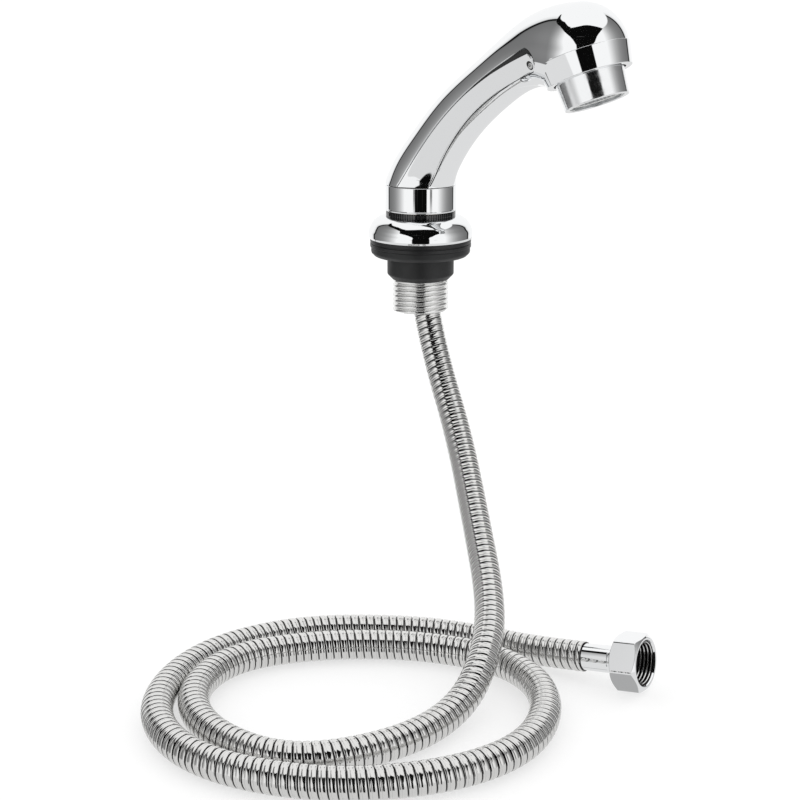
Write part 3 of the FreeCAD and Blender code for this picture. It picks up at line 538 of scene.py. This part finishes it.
headPlace = (Matrix.Translation(Vector(headSetup["place"]) * mm)
             @ Matrix.Rotation(math.radians(headSetup["lean"]), 4, "Y"))


# six-sided cells with a round hole each, joined edge to edge; a cell has twelve points
# round, at its corners and midway between them
def perforatedDisc(name, size, at):
    spacing, reach = size["meshSpacing"], size["meshRadius"]
    angles = [math.radians(30 + 30 * k) for k in range(12)]
    ways = [Vector((math.cos(angle), math.sin(angle))) for angle in angles]
    corner = spacing / math.sqrt(3)
    cell = [corner * (1, math.cos(math.radians(30)))[k % 2] for k in range(12)]
    hole, face = size["meshHole"], size["meshFace"]
    back = face + size["meshDepth"]
    count = int(reach / spacing) + 2
    shape = bmesh.new()
    for i in range(-count, count + 1):
        for j in range(-count, count + 1):
            centre = Vector((spacing * (i + j / 2), spacing * j * math.sqrt(3) / 2))
            if centre.length > reach - spacing * size["meshMargin"]:
                continue
            outer, rim, deep = [], [], []
            for way, far in zip(ways, cell):
                for ring, out, height in (outer, far, face), (rim, hole, face), (deep, hole, back):
                    ring.append(shape.verts.new((*((centre + way * out) * mm), height * mm)))
            for k in range(12):
                n = (k + 1) % 12
                shape.faces.new((outer[k], rim[k], rim[n], outer[n]))
                shape.faces.new((rim[k], deep[k], deep[n], rim[n]))
    bmesh.ops.remove_doubles(shape, verts=shape.verts, dist=2e-6)
    mesh = bpy.data.meshes.new(name)
    shape.to_mesh(mesh)
    shape.free()
    return addPiece(name, mesh, at)


def makeHead():
    size, at = headSetup, headPlace
    addTurned("headRing", size, "handset", "chrome", ["head_ring"], steps=8, at=at)
    addTurned("nozzleCup", size, "handset", "chrome", ["nozzle_cup"], cupPlate, at=at)
    addTurned("plateRim", size, "handset", "grey_plastic", ["spray_plate"], whitePlastic, at=at)
    addTurned("plateBack", size, "handset", "black_plastic", at=at)
    finishPiece(perforatedDisc("plateMesh", size, at), "handset", "grey_plastic")


makeHead()
print("head made")


# Handset: the skin is the envelope of balls that grow along a bent middle line, so the
# handle runs into the head without a crease
handleSetup = {
    # x and z of the middle line and the ball's radius, from under the foot into the head
    "balls": [(-0.9, 29, 19.3), (0.3, 36.9, 17.6), (3.2, 44.6, 16.1), (9.6, 54.7, 14.8),
              (25, 73, 13.8), (45.2, 89.7, 13.3), (64.3, 102.3, 14.9), (78.8, 107.3, 18.2),
              (89.3, 107.6, 20.9), (95.9, 106.9, 22.35)],
    "foot": 36.9, "footRadius": 18.2, "wall": 2.4,
    # over this height the foot's circle runs out into the skin
    "footBlend": 3,
    # the bore has fewer rows: one in so many
    "rows": 190, "boreRows": 4, "around": 128, "capRings": 64,
    # shares of the middle line: above the foot, and where the hollow ends
    "heel": 0.3, "heelSteps": 400, "hollow": 0.45,
    # the panel's edges in side view: back arc, end arc, corner, lower end, front arc
    "back": [(-1.2, 36.9), (76.4, 107.9), 151.6],
    "endArc": [(76.4, 107.9), (82.6, 101.2), 8.0],
    "low": (80.2, 97.4),
    "front": [(14, 36.9), (80.2, 97.4), 103.5],
    "longPoints": 110, "endPoints": 16, "footPlay": 0.02,
    # by share of its length: how deep the panel lies, how round its face is (1 as the skin),
    # and how far its back edge stays away from the recess
    "depth": [(0, 0.1), (0.55, 0.15), (0.9, 0.5), (1, 0.5)],
    "round": [(0, 0.34), (0.06, 0.26), (1, 0.2)],
    "away": [(0, 0), (0.5, 0), (0.66, 0.5), (0.8, 1.5), (0.88, 2), (0.93, 1.2),
             (0.97, 0.2), (1, 0)],
    # past this share of its length the flank goes on straight
    "held": 0.8, "heldRows": 8,
    # the surface fitted to the flank, in side view
    "fitMiddle": (40, 75), "fitSpan": 45, "fitPowers": 8, "fitColumns": 25,
    # recess: its bevelled lip, its floor, and how far the cutters stand out
    "lip": 0.55, "lipDepth": 0.8, "lipWidth": 0.985, "lipRise": 0.3,
    "floorPlay": 0.1, "cutRise": 5, "cutDrop": 1, "cutColumns": 20,
    "panelWall": 1.2, "panelGap": 0.32,
    # the panel's columns by its edges and between, and how far its rim lies back
    "rimColumns": (0, 0.018, 0.04), "midColumns": (0.07, 0.93, 18), "rimDrop": 0.3,
    # the black bed under the panel, a dark sheet that paints shade into the gap round it: overlap,
    # gap, top and foot
    "shadeBedBite": 0.45, "shadeBedGap": 0.06, "shadeBedTop": 0.5, "shadeBedFoot": 0.08,
    "screw": (77.2, 100.1), "screwSink": 0.6,
    "screwHead": [(0.001, -1.2, 0), (1.6, -1.2, 0.1), (1.6, -0.25, 0.3), (1.15, 0.2, 0.3),
                  (0.7, 0.25, 0.1), (0.6, -0.3, 0.1), (0.001, -0.3, 0)],
    "screwWell": [(0.001, -2.5, 0), (2.1, -2.5, 0), (2.1, 5, 0), (0.001, 5, 0)],
    # points this near to the balls count as skin, further off by the foot
    "skinSlack": 0.05, "footSlack": 0.5,
}


# a smooth line through knots and its slope, by natural cubic pieces
def smoothLine(knots, spots):
    knots = np.array(knots, float)
    gaps = np.linalg.norm(np.diff(knots[:, :2], axis=0), axis=1)
    marks = np.concatenate([[0], np.cumsum(gaps)])
    count = len(knots)
    system, right = np.eye(count), np.zeros((count, knots.shape[1]))
    for k in range(1, count - 1):
        system[k, k - 1:k + 2] = gaps[k - 1], 2 * (gaps[k - 1] + gaps[k]), gaps[k]
        right[k] = 6 * ((knots[k + 1] - knots[k]) / gaps[k]
                        - (knots[k] - knots[k - 1]) / gaps[k - 1])
    bend = np.linalg.solve(system, right)
    spots = np.asarray(spots, float) * marks[-1]
    k = np.clip(np.searchsorted(marks, spots, side="right") - 1, 0, count - 2)
    gap, done = gaps[k][..., None], (spots - marks[k])[..., None]
    left = gap - done
    value = ((bend[k] * left ** 3 + bend[k + 1] * done ** 3) / (6 * gap)
             + (knots[k] / gap - bend[k] * gap / 6) * left
             + (knots[k + 1] / gap - bend[k + 1] * gap / 6) * done)
    slope = ((bend[k + 1] * done ** 2 - bend[k] * left ** 2) / (2 * gap)
             + (knots[k + 1] - knots[k]) / gap - (bend[k + 1] - bend[k]) * gap / 6)
    return value, slope


# the middle line, read off closely
ballSpots = np.linspace(0, 1, 900)
ballLine = smoothLine(handleSetup["balls"], ballSpots)[0]


# the ball nearest to each point of the side view, as centre and radius in mm
def nearestBall(points):
    centres, radii = ballLine[:, :2], ballLine[:, 2]
    spots = []
    # in batches, to save memory
    for flat in np.array_split(points, len(points) // 4000 + 1):
        reach = radii ** 2 - ((flat[:, None] - centres[None]) ** 2).sum(-1)
        best = np.clip(reach.argmax(1), 1, len(radii) - 2)
        rows = np.arange(len(flat))
        before, here, after = (reach[rows, best + step] for step in (-1, 0, 1))
        shift = np.clip((before - after) / (2 * (before - 2 * here + after) - 1e-12), -1, 1)
        spots.append((best + shift) / (len(radii) - 1))
    spots = np.concatenate(spots)
    return np.stack([np.interp(spots, ballSpots, ballLine[:, k]) for k in range(3)], -1)


# how far out the skin lies beside a point of the side view
def skinReach(flat):
    points = flat.reshape(-1, 2)
    ball = nearestBall(points)
    square = ball[:, 2] ** 2 - ((points - ball[:, :2]) ** 2).sum(-1)
    return np.sqrt(np.maximum(square, 1.0)).reshape(flat.shape[:-1])


# points along an arc between two ends, bulging to the left of the way
def arcPoints(start, end, radius, count):
    start, end = np.array(start), np.array(end)
    chord = end - start
    size = np.linalg.norm(chord)
    square = np.array((-chord[1], chord[0])) / size
    rise = math.sqrt(radius ** 2 - size ** 2 / 4)
    centre = (start + end) / 2 - square * rise
    first, last = (math.atan2(*(spot - centre)[::-1]) for spot in (start, end))
    turn = (last - first + math.pi) % (2 * math.pi) - math.pi
    angles = first + turn * np.linspace(0, 1, count)
    return centre + radius * np.stack([np.cos(angles), np.sin(angles)], -1)


# the panel's two long edges, drawn in by a distance and the back one further by its share;
# both end in the corner
def panelEdges(inset, away=0.0):
    size = handleSetup
    many, few = size["longPoints"], size["endPoints"]
    back = np.concatenate([arcPoints(*size["back"], many), arcPoints(*size["endArc"], few)[1:]])
    ends = np.linspace(size["low"], size["endArc"][1], few)[1:]
    front = np.concatenate([arcPoints(*size["front"], many), ends])
    loop = np.concatenate([back, front[::-1][1:]])
    way = np.gradient(loop, axis=0)
    way /= np.linalg.norm(way, axis=1)[:, None]
    inward = np.full(len(loop), float(inset))
    inward[:len(back)] += away * np.interp(np.linspace(0, 1, len(back)), *zip(*size["away"]))
    loop = loop + np.stack([way[:, 1], -way[:, 0]], -1) * inward[:, None]
    loop[:, 1] = np.maximum(loop[:, 1], size["foot"] + size["footPlay"])
    return loop[:len(back)], loop[len(back) - 1:][::-1]


# a grid of points from the panel's back edge across to its front edge
def edgeToEdge(back, front, across):
    return back[:, None] * (1 - across[None, :, None]) + front[:, None] * across[None, :, None]


# a closed slab between two grids of points
def slab(name, inner, outer):
    count = inner.shape[0] * inner.shape[1]
    index = np.arange(count).reshape(inner.shape[:2])
    faces = []
    for grid, flip in ((index, 1), (index + count, -1)):
        quads = np.stack([grid[:-1, :-1], grid[1:, :-1], grid[1:, 1:], grid[:-1, 1:]], -1)
        faces += quads.reshape(-1, 4)[:, ::flip].tolist()
    rim = np.concatenate([index[0, :-1], index[:-1, -1], index[-1, :0:-1], index[:0:-1, 0]])
    following = np.roll(rim, -1)
    faces += np.stack([rim, following, following + count, rim + count], -1).tolist()
    mesh = bpy.data.meshes.new(name)
    points = np.concatenate([inner.reshape(-1, 3), outer.reshape(-1, 3)]) * mm
    mesh.from_pydata(points.tolist(), [], faces)
    cleanMesh(mesh, 2e-6, 1e-7)
    return addPiece(name, mesh)


# how far out the flattened flank lies: a chord between the skin at the panel's two edges,
# with part of the skin's bulge
def flankReach(flat):
    size = handleSetup
    back, front = panelEdges(0.0)
    share = np.linspace(0, 1, len(back))
    held = share < size["held"]
    ends = []
    for edge in (back, front):
        reach = skinReach(edge)
        kept, at = reach[held], share[held]
        slope = (kept[-1] - kept[-size["heldRows"]]) / (at[-1] - at[-size["heldRows"]])
        ends.append(np.where(held, reach, kept[-1] + slope * (share - at[-1])))
    across = np.linspace(0, 1, size["fitColumns"])
    grid = edgeToEdge(back, front, across)
    chord = ends[0][:, None] * (1 - across) + ends[1][:, None] * across
    part = np.interp(share, *zip(*size["round"]))[:, None]
    bulge = 4 * across * (1 - across) * np.max(skinReach(grid) - chord, axis=1)[:, None]
    bulge = np.where(held[:, None], bulge, bulge[held][-1])
    reach = (chord + part * bulge).ravel()
    # a smooth surface through the grid, read off at any point
    powers = [(i, j) for i in range(size["fitPowers"]) for j in range(size["fitPowers"] - i)]

    def scaled(spots):
        return np.moveaxis(spots - size["fitMiddle"], -1, 0) / size["fitSpan"]

    x, z = scaled(grid.reshape(-1, 2))
    basis = np.stack([x ** i * z ** j for i, j in powers], -1)
    weights = np.linalg.lstsq(basis, reach, rcond=1e-10)[0]
    x, z = scaled(flat)
    return sum(weight * x ** i * z ** j for weight, (i, j) in zip(weights, powers))


# the panel's grid on one side (1 or -1), lowered by a depth under the flank
def panelGrid(side, inset, across, lower, away=0.0, onSkin=False):
    back, front = panelEdges(inset, away)
    flat = edgeToEdge(back, front, across)
    share = np.linspace(0, 1, len(back))
    deep = np.interp(share, *zip(*handleSetup["depth"]))[:, None]
    reach = skinReach(flat) - lower if onSkin else flankReach(flat) - deep - lower
    return np.stack([flat[..., 0], side * reach, flat[..., 1]], -1)


# cuts a shape out of a piece and drops the cutter
def cutOut(piece, cutter):
    cut = piece.modifiers.new("cut", "BOOLEAN")
    cut.operation = "DIFFERENCE"
    cut.solver = "EXACT"
    cut.object = cutter
    shaped = bpy.data.meshes.new_from_object(
        piece.evaluated_get(bpy.context.evaluated_depsgraph_get()))
    piece.modifiers.clear()
    old, gone = piece.data, cutter.data
    piece.data = shaped
    shaped.name = old.name + "Cut"
    bpy.data.objects.remove(cutter)
    for mesh in (old, gone):
        bpy.data.meshes.remove(mesh)


# 1 at the foot's height in mm and below, 0 where its round section has run out
def footNearness(heights):
    reach = handleSetup["footBlend"]
    return np.clip((handleSetup["foot"] + reach - heights) / reach, 0, 1)


# the skin's rings from deep inside the bore, round the foot's rim and out to the brow
def skinRings():
    size = handleSetup
    turns = np.arange(size["around"]) * 2 * math.pi / size["around"]

    # a circle round a point of the side view, with its top in a direction there
    def circle(middle, radius, upright):
        flat = middle + (radius * np.cos(turns))[..., None] * upright
        return np.stack([flat[..., 0], radius * np.sin(turns), flat[..., 1]], -1)

    # a ring of the skin, or of the bore when it is thinner by a wall
    def ring(spots, thinner=0):
        value, slope = smoothLine(size["balls"], spots)
        centre, radius = value[..., :2], value[..., 2] - thinner
        pace = np.linalg.norm(slope[..., :2], axis=-1)
        way = slope[..., :2] / pace[..., None]
        lean = -slope[..., 2] / pace
        upright = np.stack([-way[..., 1], way[..., 0]], -1)
        return circle(centre + (radius * lean)[..., None] * way, radius * np.sqrt(1 - lean ** 2),
                      upright)

    trial = np.linspace(0, size["heel"], size["heelSteps"])
    heights = ring(np.repeat(trial[:, None], len(turns), 1))[..., 2]
    low = np.array([np.interp(size["foot"], heights[:, k], trial) for k in range(len(turns))])
    share = np.linspace(0, 1, size["rows"])[:, None]
    outer = ring(low + (1 - low) * share)
    # the foot is a true circle where it meets the band
    near = footNearness(outer[..., 2]) ** 2
    across = np.hypot(outer[..., 0], outer[..., 1])
    outer[..., :2] *= (1 + near * (size["footRadius"] / across - 1))[..., None]
    outer[0, :, 2] = size["foot"]
    inner = ring(low + (size["hollow"] - low) * share[::size["boreRows"]], size["wall"])
    inner[0, :, 2] = size["foot"]
    tip = np.repeat(inner[-1].mean(0)[None], len(turns), 0)
    value, slope = smoothLine(size["balls"], np.array([1.0]))
    centre, radius = value[0, :2], value[0, 2]
    pace = np.linalg.norm(slope[0, :2])
    way = slope[0, :2] / pace
    cap = [circle(centre + radius * math.cos(angle) * way, radius * math.sin(angle),
                  np.array((-way[1], way[0])))
           for angle in np.linspace(math.acos(-slope[0, 2] / pace), 0, size["capRings"])[1:]]
    rings = np.concatenate([tip[None], inner[::-1], outer, cap])
    # inside the head ring the ball is flat, at the plane where the ring begins
    plane = headSetup["flatHeight"]
    toHead = np.array((headPlace.inverted() @ Matrix.Diagonal((mm, mm, mm, 1))))
    local = (rings @ toHead[:3, :3].T + toHead[:3, 3]) / mm
    near = np.hypot(local[..., 0], local[..., 1]) < headSetup["flatRadius"]
    inside = near & (local[..., 2] < plane)
    inside[:len(inner) + 1] = False
    local[..., 2] = np.where(inside, plane, local[..., 2])
    back = np.array(headPlace)
    return (local * mm @ back[:3, :3].T + back[:3, 3]) / mm


# the recess in one flank: a bevelled lip, then the deep part for the panel
def cutRecess(skin, side):
    size = handleSetup
    across = np.linspace(0, 1, size["cutColumns"])
    pairs = ((panelGrid(side, 0.0, across, size["lip"] * size["lipDepth"]),
              panelGrid(side, -size["lip"], across * size["lipWidth"], -size["lipRise"],
                        onSkin=True)),
             (panelGrid(side, 0.0, across, size["panelWall"] + size["floorPlay"]),
              panelGrid(side, 0.0, across, -size["cutRise"])))
    for low, high in pairs:
        for grid in (low, high):
            grid[0, :, 2] -= size["cutDrop"]
        cutOut(skin, slab("recess", low, high))


# the skin keeps the normals of its balls, and the faces that were cut are flat
def smoothSkin(mesh):
    size = handleSetup
    mesh.shade_smooth()
    points = np.array([vertex.co for vertex in mesh.vertices], float) / mm
    ball = nearestBall(points[:, [0, 2]])
    away = points.copy()
    away[:, [0, 2]] -= ball[:, :2]
    distance = np.linalg.norm(away, axis=1)
    slack = size["skinSlack"] + size["footSlack"] * footNearness(points[:, 2])
    onSkin = np.abs(distance - ball[:, 2]) < slack
    smooth = away / distance[:, None]
    normals = []
    for face in mesh.polygons:
        whole = all(onSkin[k] for k in face.vertices)
        normals += [smooth[k] if whole else face.normal for k in face.vertices]
    mesh.normals_split_custom_set([tuple(way) for way in normals])


# the inlay of one flank, the black bed that shows round it as painted shade, and its screw
def makePanel(side, flank):
    size = handleSetup
    rim = np.array(size["rimColumns"])
    across = np.concatenate([rim, np.linspace(*size["midColumns"]), 1 - rim[::-1]])
    wall = size["panelWall"]
    outer = panelGrid(side, size["panelGap"], across, 0.0, away=1.0)
    inner = panelGrid(side, size["panelGap"], across, wall - size["shadeBedBite"], away=1.0)
    # the moulding's edge is rounded off
    for edge in (outer[:, 0], outer[:, -1], outer[-1]):
        edge[:, 1] -= side * size["rimDrop"]
    panel = slab("panel" + flank, inner, outer)
    reach = float(flankReach(np.array([size["screw"]]))[0]) - size["screwSink"]
    spot = Vector((size["screw"][0], side * reach, size["screw"][1]))
    place = Matrix.Translation(spot * mm) @ Matrix.Rotation(math.radians(-90 * side), 4, "X")
    # the well round the screw opens onto the black sheet, a ring of painted shade
    cutOut(panel, turned("well", size["screwWell"], around=48, at=place))
    shadeCrisp(panel.data, 30)
    finishPiece(panel, "handset", "panel_chrome", ["side_panel_" + flank])
    # painted shade: a black sheet under the panel darkens the gap round it and the screw's well
    shadeBed = slab("panelShadeBed" + flank,
               panelGrid(side, size["shadeBedGap"], across, wall + size["shadeBedFoot"]),
               panelGrid(side, size["shadeBedGap"], across, wall - size["shadeBedTop"]))
    shadeCrisp(shadeBed.data, 30)
    finishPiece(shadeBed, "handset", "black_plastic")
    screw = turned("screw" + flank, size["screwHead"], around=48, at=place)
    finishPiece(screw, "handset", "steel", ["panel_screws"] if side == 1 else [])


def makeHandle():
    skin = skinned("handleSkin", skinRings(), closed=False)
    for side in (1, -1):
        cutRecess(skin, side)
    smoothSkin(skin.data)
    finishPiece(skin, "handset", "chrome", ["handle_shell"])
    for side, flank in ((1, "left"), (-1, "right")):
        makePanel(side, flank)


makeHandle()
print("handle made")


# Coupling: the crimped ferrule and the loose six-sided nut with its G 1/2 thread
couplingSetup = {
    "place": (148, -60, -161.5),
    "way": (0.98235, 0.13224, 0.13224),
    "hoseFerrule": [(4.6, 0.1, 0.1), (6.15, 0.1, 0.35), (6.2, 13.2, 0.3), (5.95, 13.6, 0.3),
                    (5.95, 14.2, 0.3), (6.2, 14.6, 0.3), (6.2, 18.55, 0.3), (4.6, 18.55, 0.1)],
    "flats": 24, "edgeWidth": 0.28, "columns": 144, "turn": 30,
    # the six edges are turned off at this share of the flats' radius
    "edgeShare": 1.135,
    # its chamfered ends, then the way in from the front: height, radius
    "back": 17, "front": 30.1, "faceRadius": 11.5, "slope": 0.62, "backHole": 6.4,
    "inside": [(30.1, 10.6), (29.2, 10.2), (22.3, 10.2), (22.3, 10.5), (18.5, 10.5)],
    # fourteen threads to the inch, a little past the plain bore's ends and clear of its wall
    "threadPitch": 1.814, "threadSpan": (22.2, 29.3), "threadColumns": 72, "threadEnd": 9.9,
    "bore": 10.17,
    "thread": [(0, 10), (0.16, 9.95), (0.4, 9.35), (0.5, 9.3), (0.64, 9.35), (0.88, 9.95)],
}
couplingPlace = (Matrix.Translation(Vector(couplingSetup["place"]) * mm)
                 @ Vector(couplingSetup["way"]).to_track_quat("Z", "Y").to_matrix().to_4x4())


def makeNut():
    size = couplingSetup
    turns = np.arange(size["columns"]) * 2 * math.pi / size["columns"]
    fromFlat = (turns + math.pi / 6) % (math.pi / 3) - math.pi / 6
    across = size["flats"] / 2
    outer = np.minimum(across / np.cos(fromFlat), across * size["edgeShare"])
    rise = (outer - size["faceRadius"]) * size["slope"]
    hole, face = size["backHole"], size["faceRadius"]
    back, front = size["back"], size["front"]
    # height and radius, round the nut's section from its back
    profile = [(back, hole), (back, face), (back + rise, outer), (front - rise, outer),
               (front, face), *size["inside"], (size["inside"][-1][0], hole)]
    angle = turns + math.radians(size["turn"])
    rings = [np.stack(np.broadcast_arrays(radius * np.cos(angle), radius * np.sin(angle),
                                          height), -1) for height, radius in profile]
    nut = skinned("couplingNut", rings, at=couplingPlace, crisp=16)
    edge = nut.modifiers.new("softEdges", "BEVEL")
    edge.width = size["edgeWidth"] * mm
    edge.segments = 2
    edge.limit_method = "ANGLE"
    edge.angle_limit = math.radians(20)
    edge.harden_normals = True
    finishPiece(nut, "coupling", "chrome", ["coupling_nut"])
    thread = threaded("nutThread", size)
    thread.data.transform(couplingPlace)
    finishPiece(thread, "coupling", "chrome", material=borePlate)
    return nut, thread


ferrule = addTurned("hoseFerrule", couplingSetup, "base", "chrome", ["hose_ferrule"],
                    around=96, at=couplingPlace)
hoseEnd = [ferrule, *makeNut(), frame["nodes"]["hose_tail"], frame["nodes"]["nut_washer"]]
print("coupling made")


# Floor and light: a white tent with black cards, which is what gives chrome its outline
studioSetup = {
    "floorHeight": -0.1725, "floorHalf": 30,
    # light from under the paper keeps its shadows faint
    "floorLight": 0.6,
    "fill": 1.12,
    "ceilingFrom": 46,
    # how soft the edges are, as shares of the whole range
    "softCeiling": 0.01, "softSide": 0.004, "softEnd": 0.006,
    # on the left the walls come round further at these heights: height, degrees
    "wallTurn": [(-12, 0), (-6, 1), (0, 4), (4, 6), (8, 6), (14, 3), (22, 0), (24, 0)],
    # the tent's walls by degrees away from the camera's side: white, shaded, an edge, white
    "walls": [(0, 1), (55, 1), (60, 0.88), (68, 0.68), (76, 0.5), (84, 0.38), (92, 0.29),
              (100, 0.24), (110, 0.2), (123, 0.17), (125, 0.005), (129, 0.005), (131, 0.8),
              (140, 1)],
    # cards: name, way, shade, and edges by degrees along it: lower, upper
    "cards": [
        ("paleFloor", "turn", 0.77, [
            (-181, -91, -23), (-130, -91, -23), (-104, -91, -21), (-88, -91, -13),
            (-40, -91, -12), (40, -91, -12), (181, -91, -12)]),
        ("behindCamera", "rise", 0.003, [
            (-34, -16, 18), (-26, -19, 18.5), (-14, -20, 19), (-8, -21, 19.5), (-3, -20, 19),
            (8, -19, 18.5), (16, -20.5, 20.5), (22, -25.5, 27), (28, -31, 31),
            (34, -40, 36), (39, -53, 44), (43, -66, 54), (46, -72, 66), (50, -68, 60),
            (54, -48, 52), (58, -34, 42), (62, -16, 28), (64.5, 2, 12)]),
        ("overhead", "turn", 0.003, [
            (-142, 47, 50), (-120, 44, 52.5), (-90, 46.5, 58.5), (-75, 45, 57.5),
            (-60, 41, 55.5), (-50, 38, 56)]),
        ("cardEdge", "rise", 0.01, [(-9.1, 28, 37), (-7.2, 28, 37)]),
        ("blockEdge", "rise", 0.005, [(-9.1, -26, -14), (-7.2, -26, -14)]),
        ("streakLeft", "rise", 0.08, [(-9.1, -13, -11.2), (-7.2, -13, -11.2)]),
        ("streakRight", "rise", 0.08, [(-9.1, 3.5, 5), (-7.2, 3.5, 5)]),
        ("underNut", "turn", 0.42, [(-110, -75.5, -66.5), (-95, -75.5, -66.5)]),
        ("glint", "turn", 0.09, [(-22, 34, 35.2), (-10, 35.2, 36.6), (2, 34.6, 35.6)]),
    ],
}


def makeFloor():
    mesh = bpy.data.meshes.new("studioFloor")
    half, height = studioSetup["floorHalf"], studioSetup["floorHeight"]
    corners = [(x * half, y * half, height) for x, y in ((-1, -1), (1, -1), (1, 1), (-1, 1))]
    mesh.from_pydata(corners, [], [(0, 1, 2, 3)])
    floor = addPiece("studioFloor", mesh)
    material, _, surface = startMaterial("matWhitePaper")
    surface.inputs["Base Color"].default_value = linear("#a9a9a9")
    surface.inputs["Emission Color"].default_value = linear("#ffffff")
    surface.inputs["Emission Strength"].default_value = studioSetup["floorLight"]
    surface.inputs["Roughness"].default_value = 0.9
    mesh.materials.append(material)
    floor.visible_glossy = False


# an angle as a share of its whole range, for the ramps
def shareOf(degrees, along):
    return (degrees + 180) / 360 if along == "turn" else (degrees + 90) / 180


def grey(value):
    return (value, value, value, 1)


def makeWorld():
    size = studioSetup
    world = bpy.data.worlds.new("softStudio")
    world.use_nodes = True
    tree = world.node_tree
    tree.nodes.clear()

    # a sum of values that are numbers or outputs of nodes
    def reckon(operation, *values):
        settings, links = {"operation": operation}, {}
        for key, value in enumerate(values):
            (settings if isinstance(value, float) else links)[key] = value
        return addNode(tree, "ShaderNodeMath", settings, links).outputs[0]

    # rises from 0 to 1 between two values
    def rising(value, low, high):
        return addNode(tree, "ShaderNodeMapRange", {"From Min": low, "From Max": high}, {
            "Value": value}).outputs["Result"]

    def ramp(value, stops):
        return addNode(tree, "ShaderNodeValToRGB", {"stops": stops}, {
            "Fac": value}).outputs["Color"]

    # lays a shade over the light where the mask is 1
    def covered(light, shade, mask):
        return addNode(tree, "ShaderNodeMix", {"data_type": "RGBA", "B": grey(shade)}, {
            "Factor": mask, "A": light}).outputs["Result"]

    towards = -Vector(cameraSetup["looking"])
    place = addNode(tree, "ShaderNodeTexCoord").outputs["Generated"]
    facing = addNode(tree, "ShaderNodeVectorRotate", {
        "rotation_type": "Z_AXIS", "Angle": -math.atan2(towards.y, towards.x),
    }, {"Vector": place})
    split = addNode(tree, "ShaderNodeSeparateXYZ", None, {"Vector": facing.outputs["Vector"]})
    azimuth = reckon("ARCTAN2", split.outputs["Y"], split.outputs["X"])
    height = reckon("ARCSINE", split.outputs["Z"])
    shares = {"turn": rising(azimuth, -math.pi, math.pi),
              "rise": rising(height, -math.pi / 2, math.pi / 2)}
    leftTurn = ramp(shares["rise"], [
        (shareOf(degrees, "rise"), grey(math.radians(value)))
        for degrees, value in size["wallTurn"]])
    comeRound = reckon("MULTIPLY", leftTurn, reckon("LESS_THAN", azimuth, 0.0))
    away = reckon("ABSOLUTE", reckon("SUBTRACT", azimuth, comeRound))
    light = ramp(reckon("DIVIDE", away, math.pi), [
        (degrees / 180, grey(value)) for degrees, value in size["walls"]])
    ceiling = shareOf(size["ceilingFrom"], "rise")
    light = covered(light, 1.0, rising(shares["rise"], ceiling, ceiling + size["softCeiling"]))
    for name, along, shade, edges in size["cards"]:
        across = "turn" if along == "rise" else "rise"
        lower, upper = (ramp(shares[along], [
            (shareOf(row[0], along), grey(shareOf(row[side], across))) for row in edges])
            for side in (1, 2))
        mask = rising(reckon("SUBTRACT", shares[across], lower), 0.0, size["softSide"])
        others = [rising(reckon("SUBTRACT", upper, shares[across]), 0.0, size["softSide"])]
        for end, way in ((0, 1), (-1, -1)):
            limit = shareOf(edges[end][0], along)
            others.append(rising(shares[along], limit, limit + size["softEnd"] * way))
        for other in others:
            mask = reckon("MULTIPLY", mask, other)
        light = covered(light, shade, mask)
    cards = addNode(tree, "ShaderNodeBackground", {"Strength": 1.0}, {"Color": light})
    fill = addNode(tree, "ShaderNodeBackground", {"Color": grey(1.0), "Strength": size["fill"]})
    seen = addNode(tree, "ShaderNodeLightPath")
    either = addNode(tree, "ShaderNodeMixShader", None, {
        "Fac": seen.outputs["Is Glossy Ray"], 1: fill.outputs[0], 2: cards.outputs[0]})
    addNode(tree, "ShaderNodeOutputWorld", None, {"Surface": either.outputs[0]})
    bpy.context.scene.world = world


makeFloor()
makeWorld()
bpy.context.scene.view_settings.view_transform = "Standard"
print("studio set")
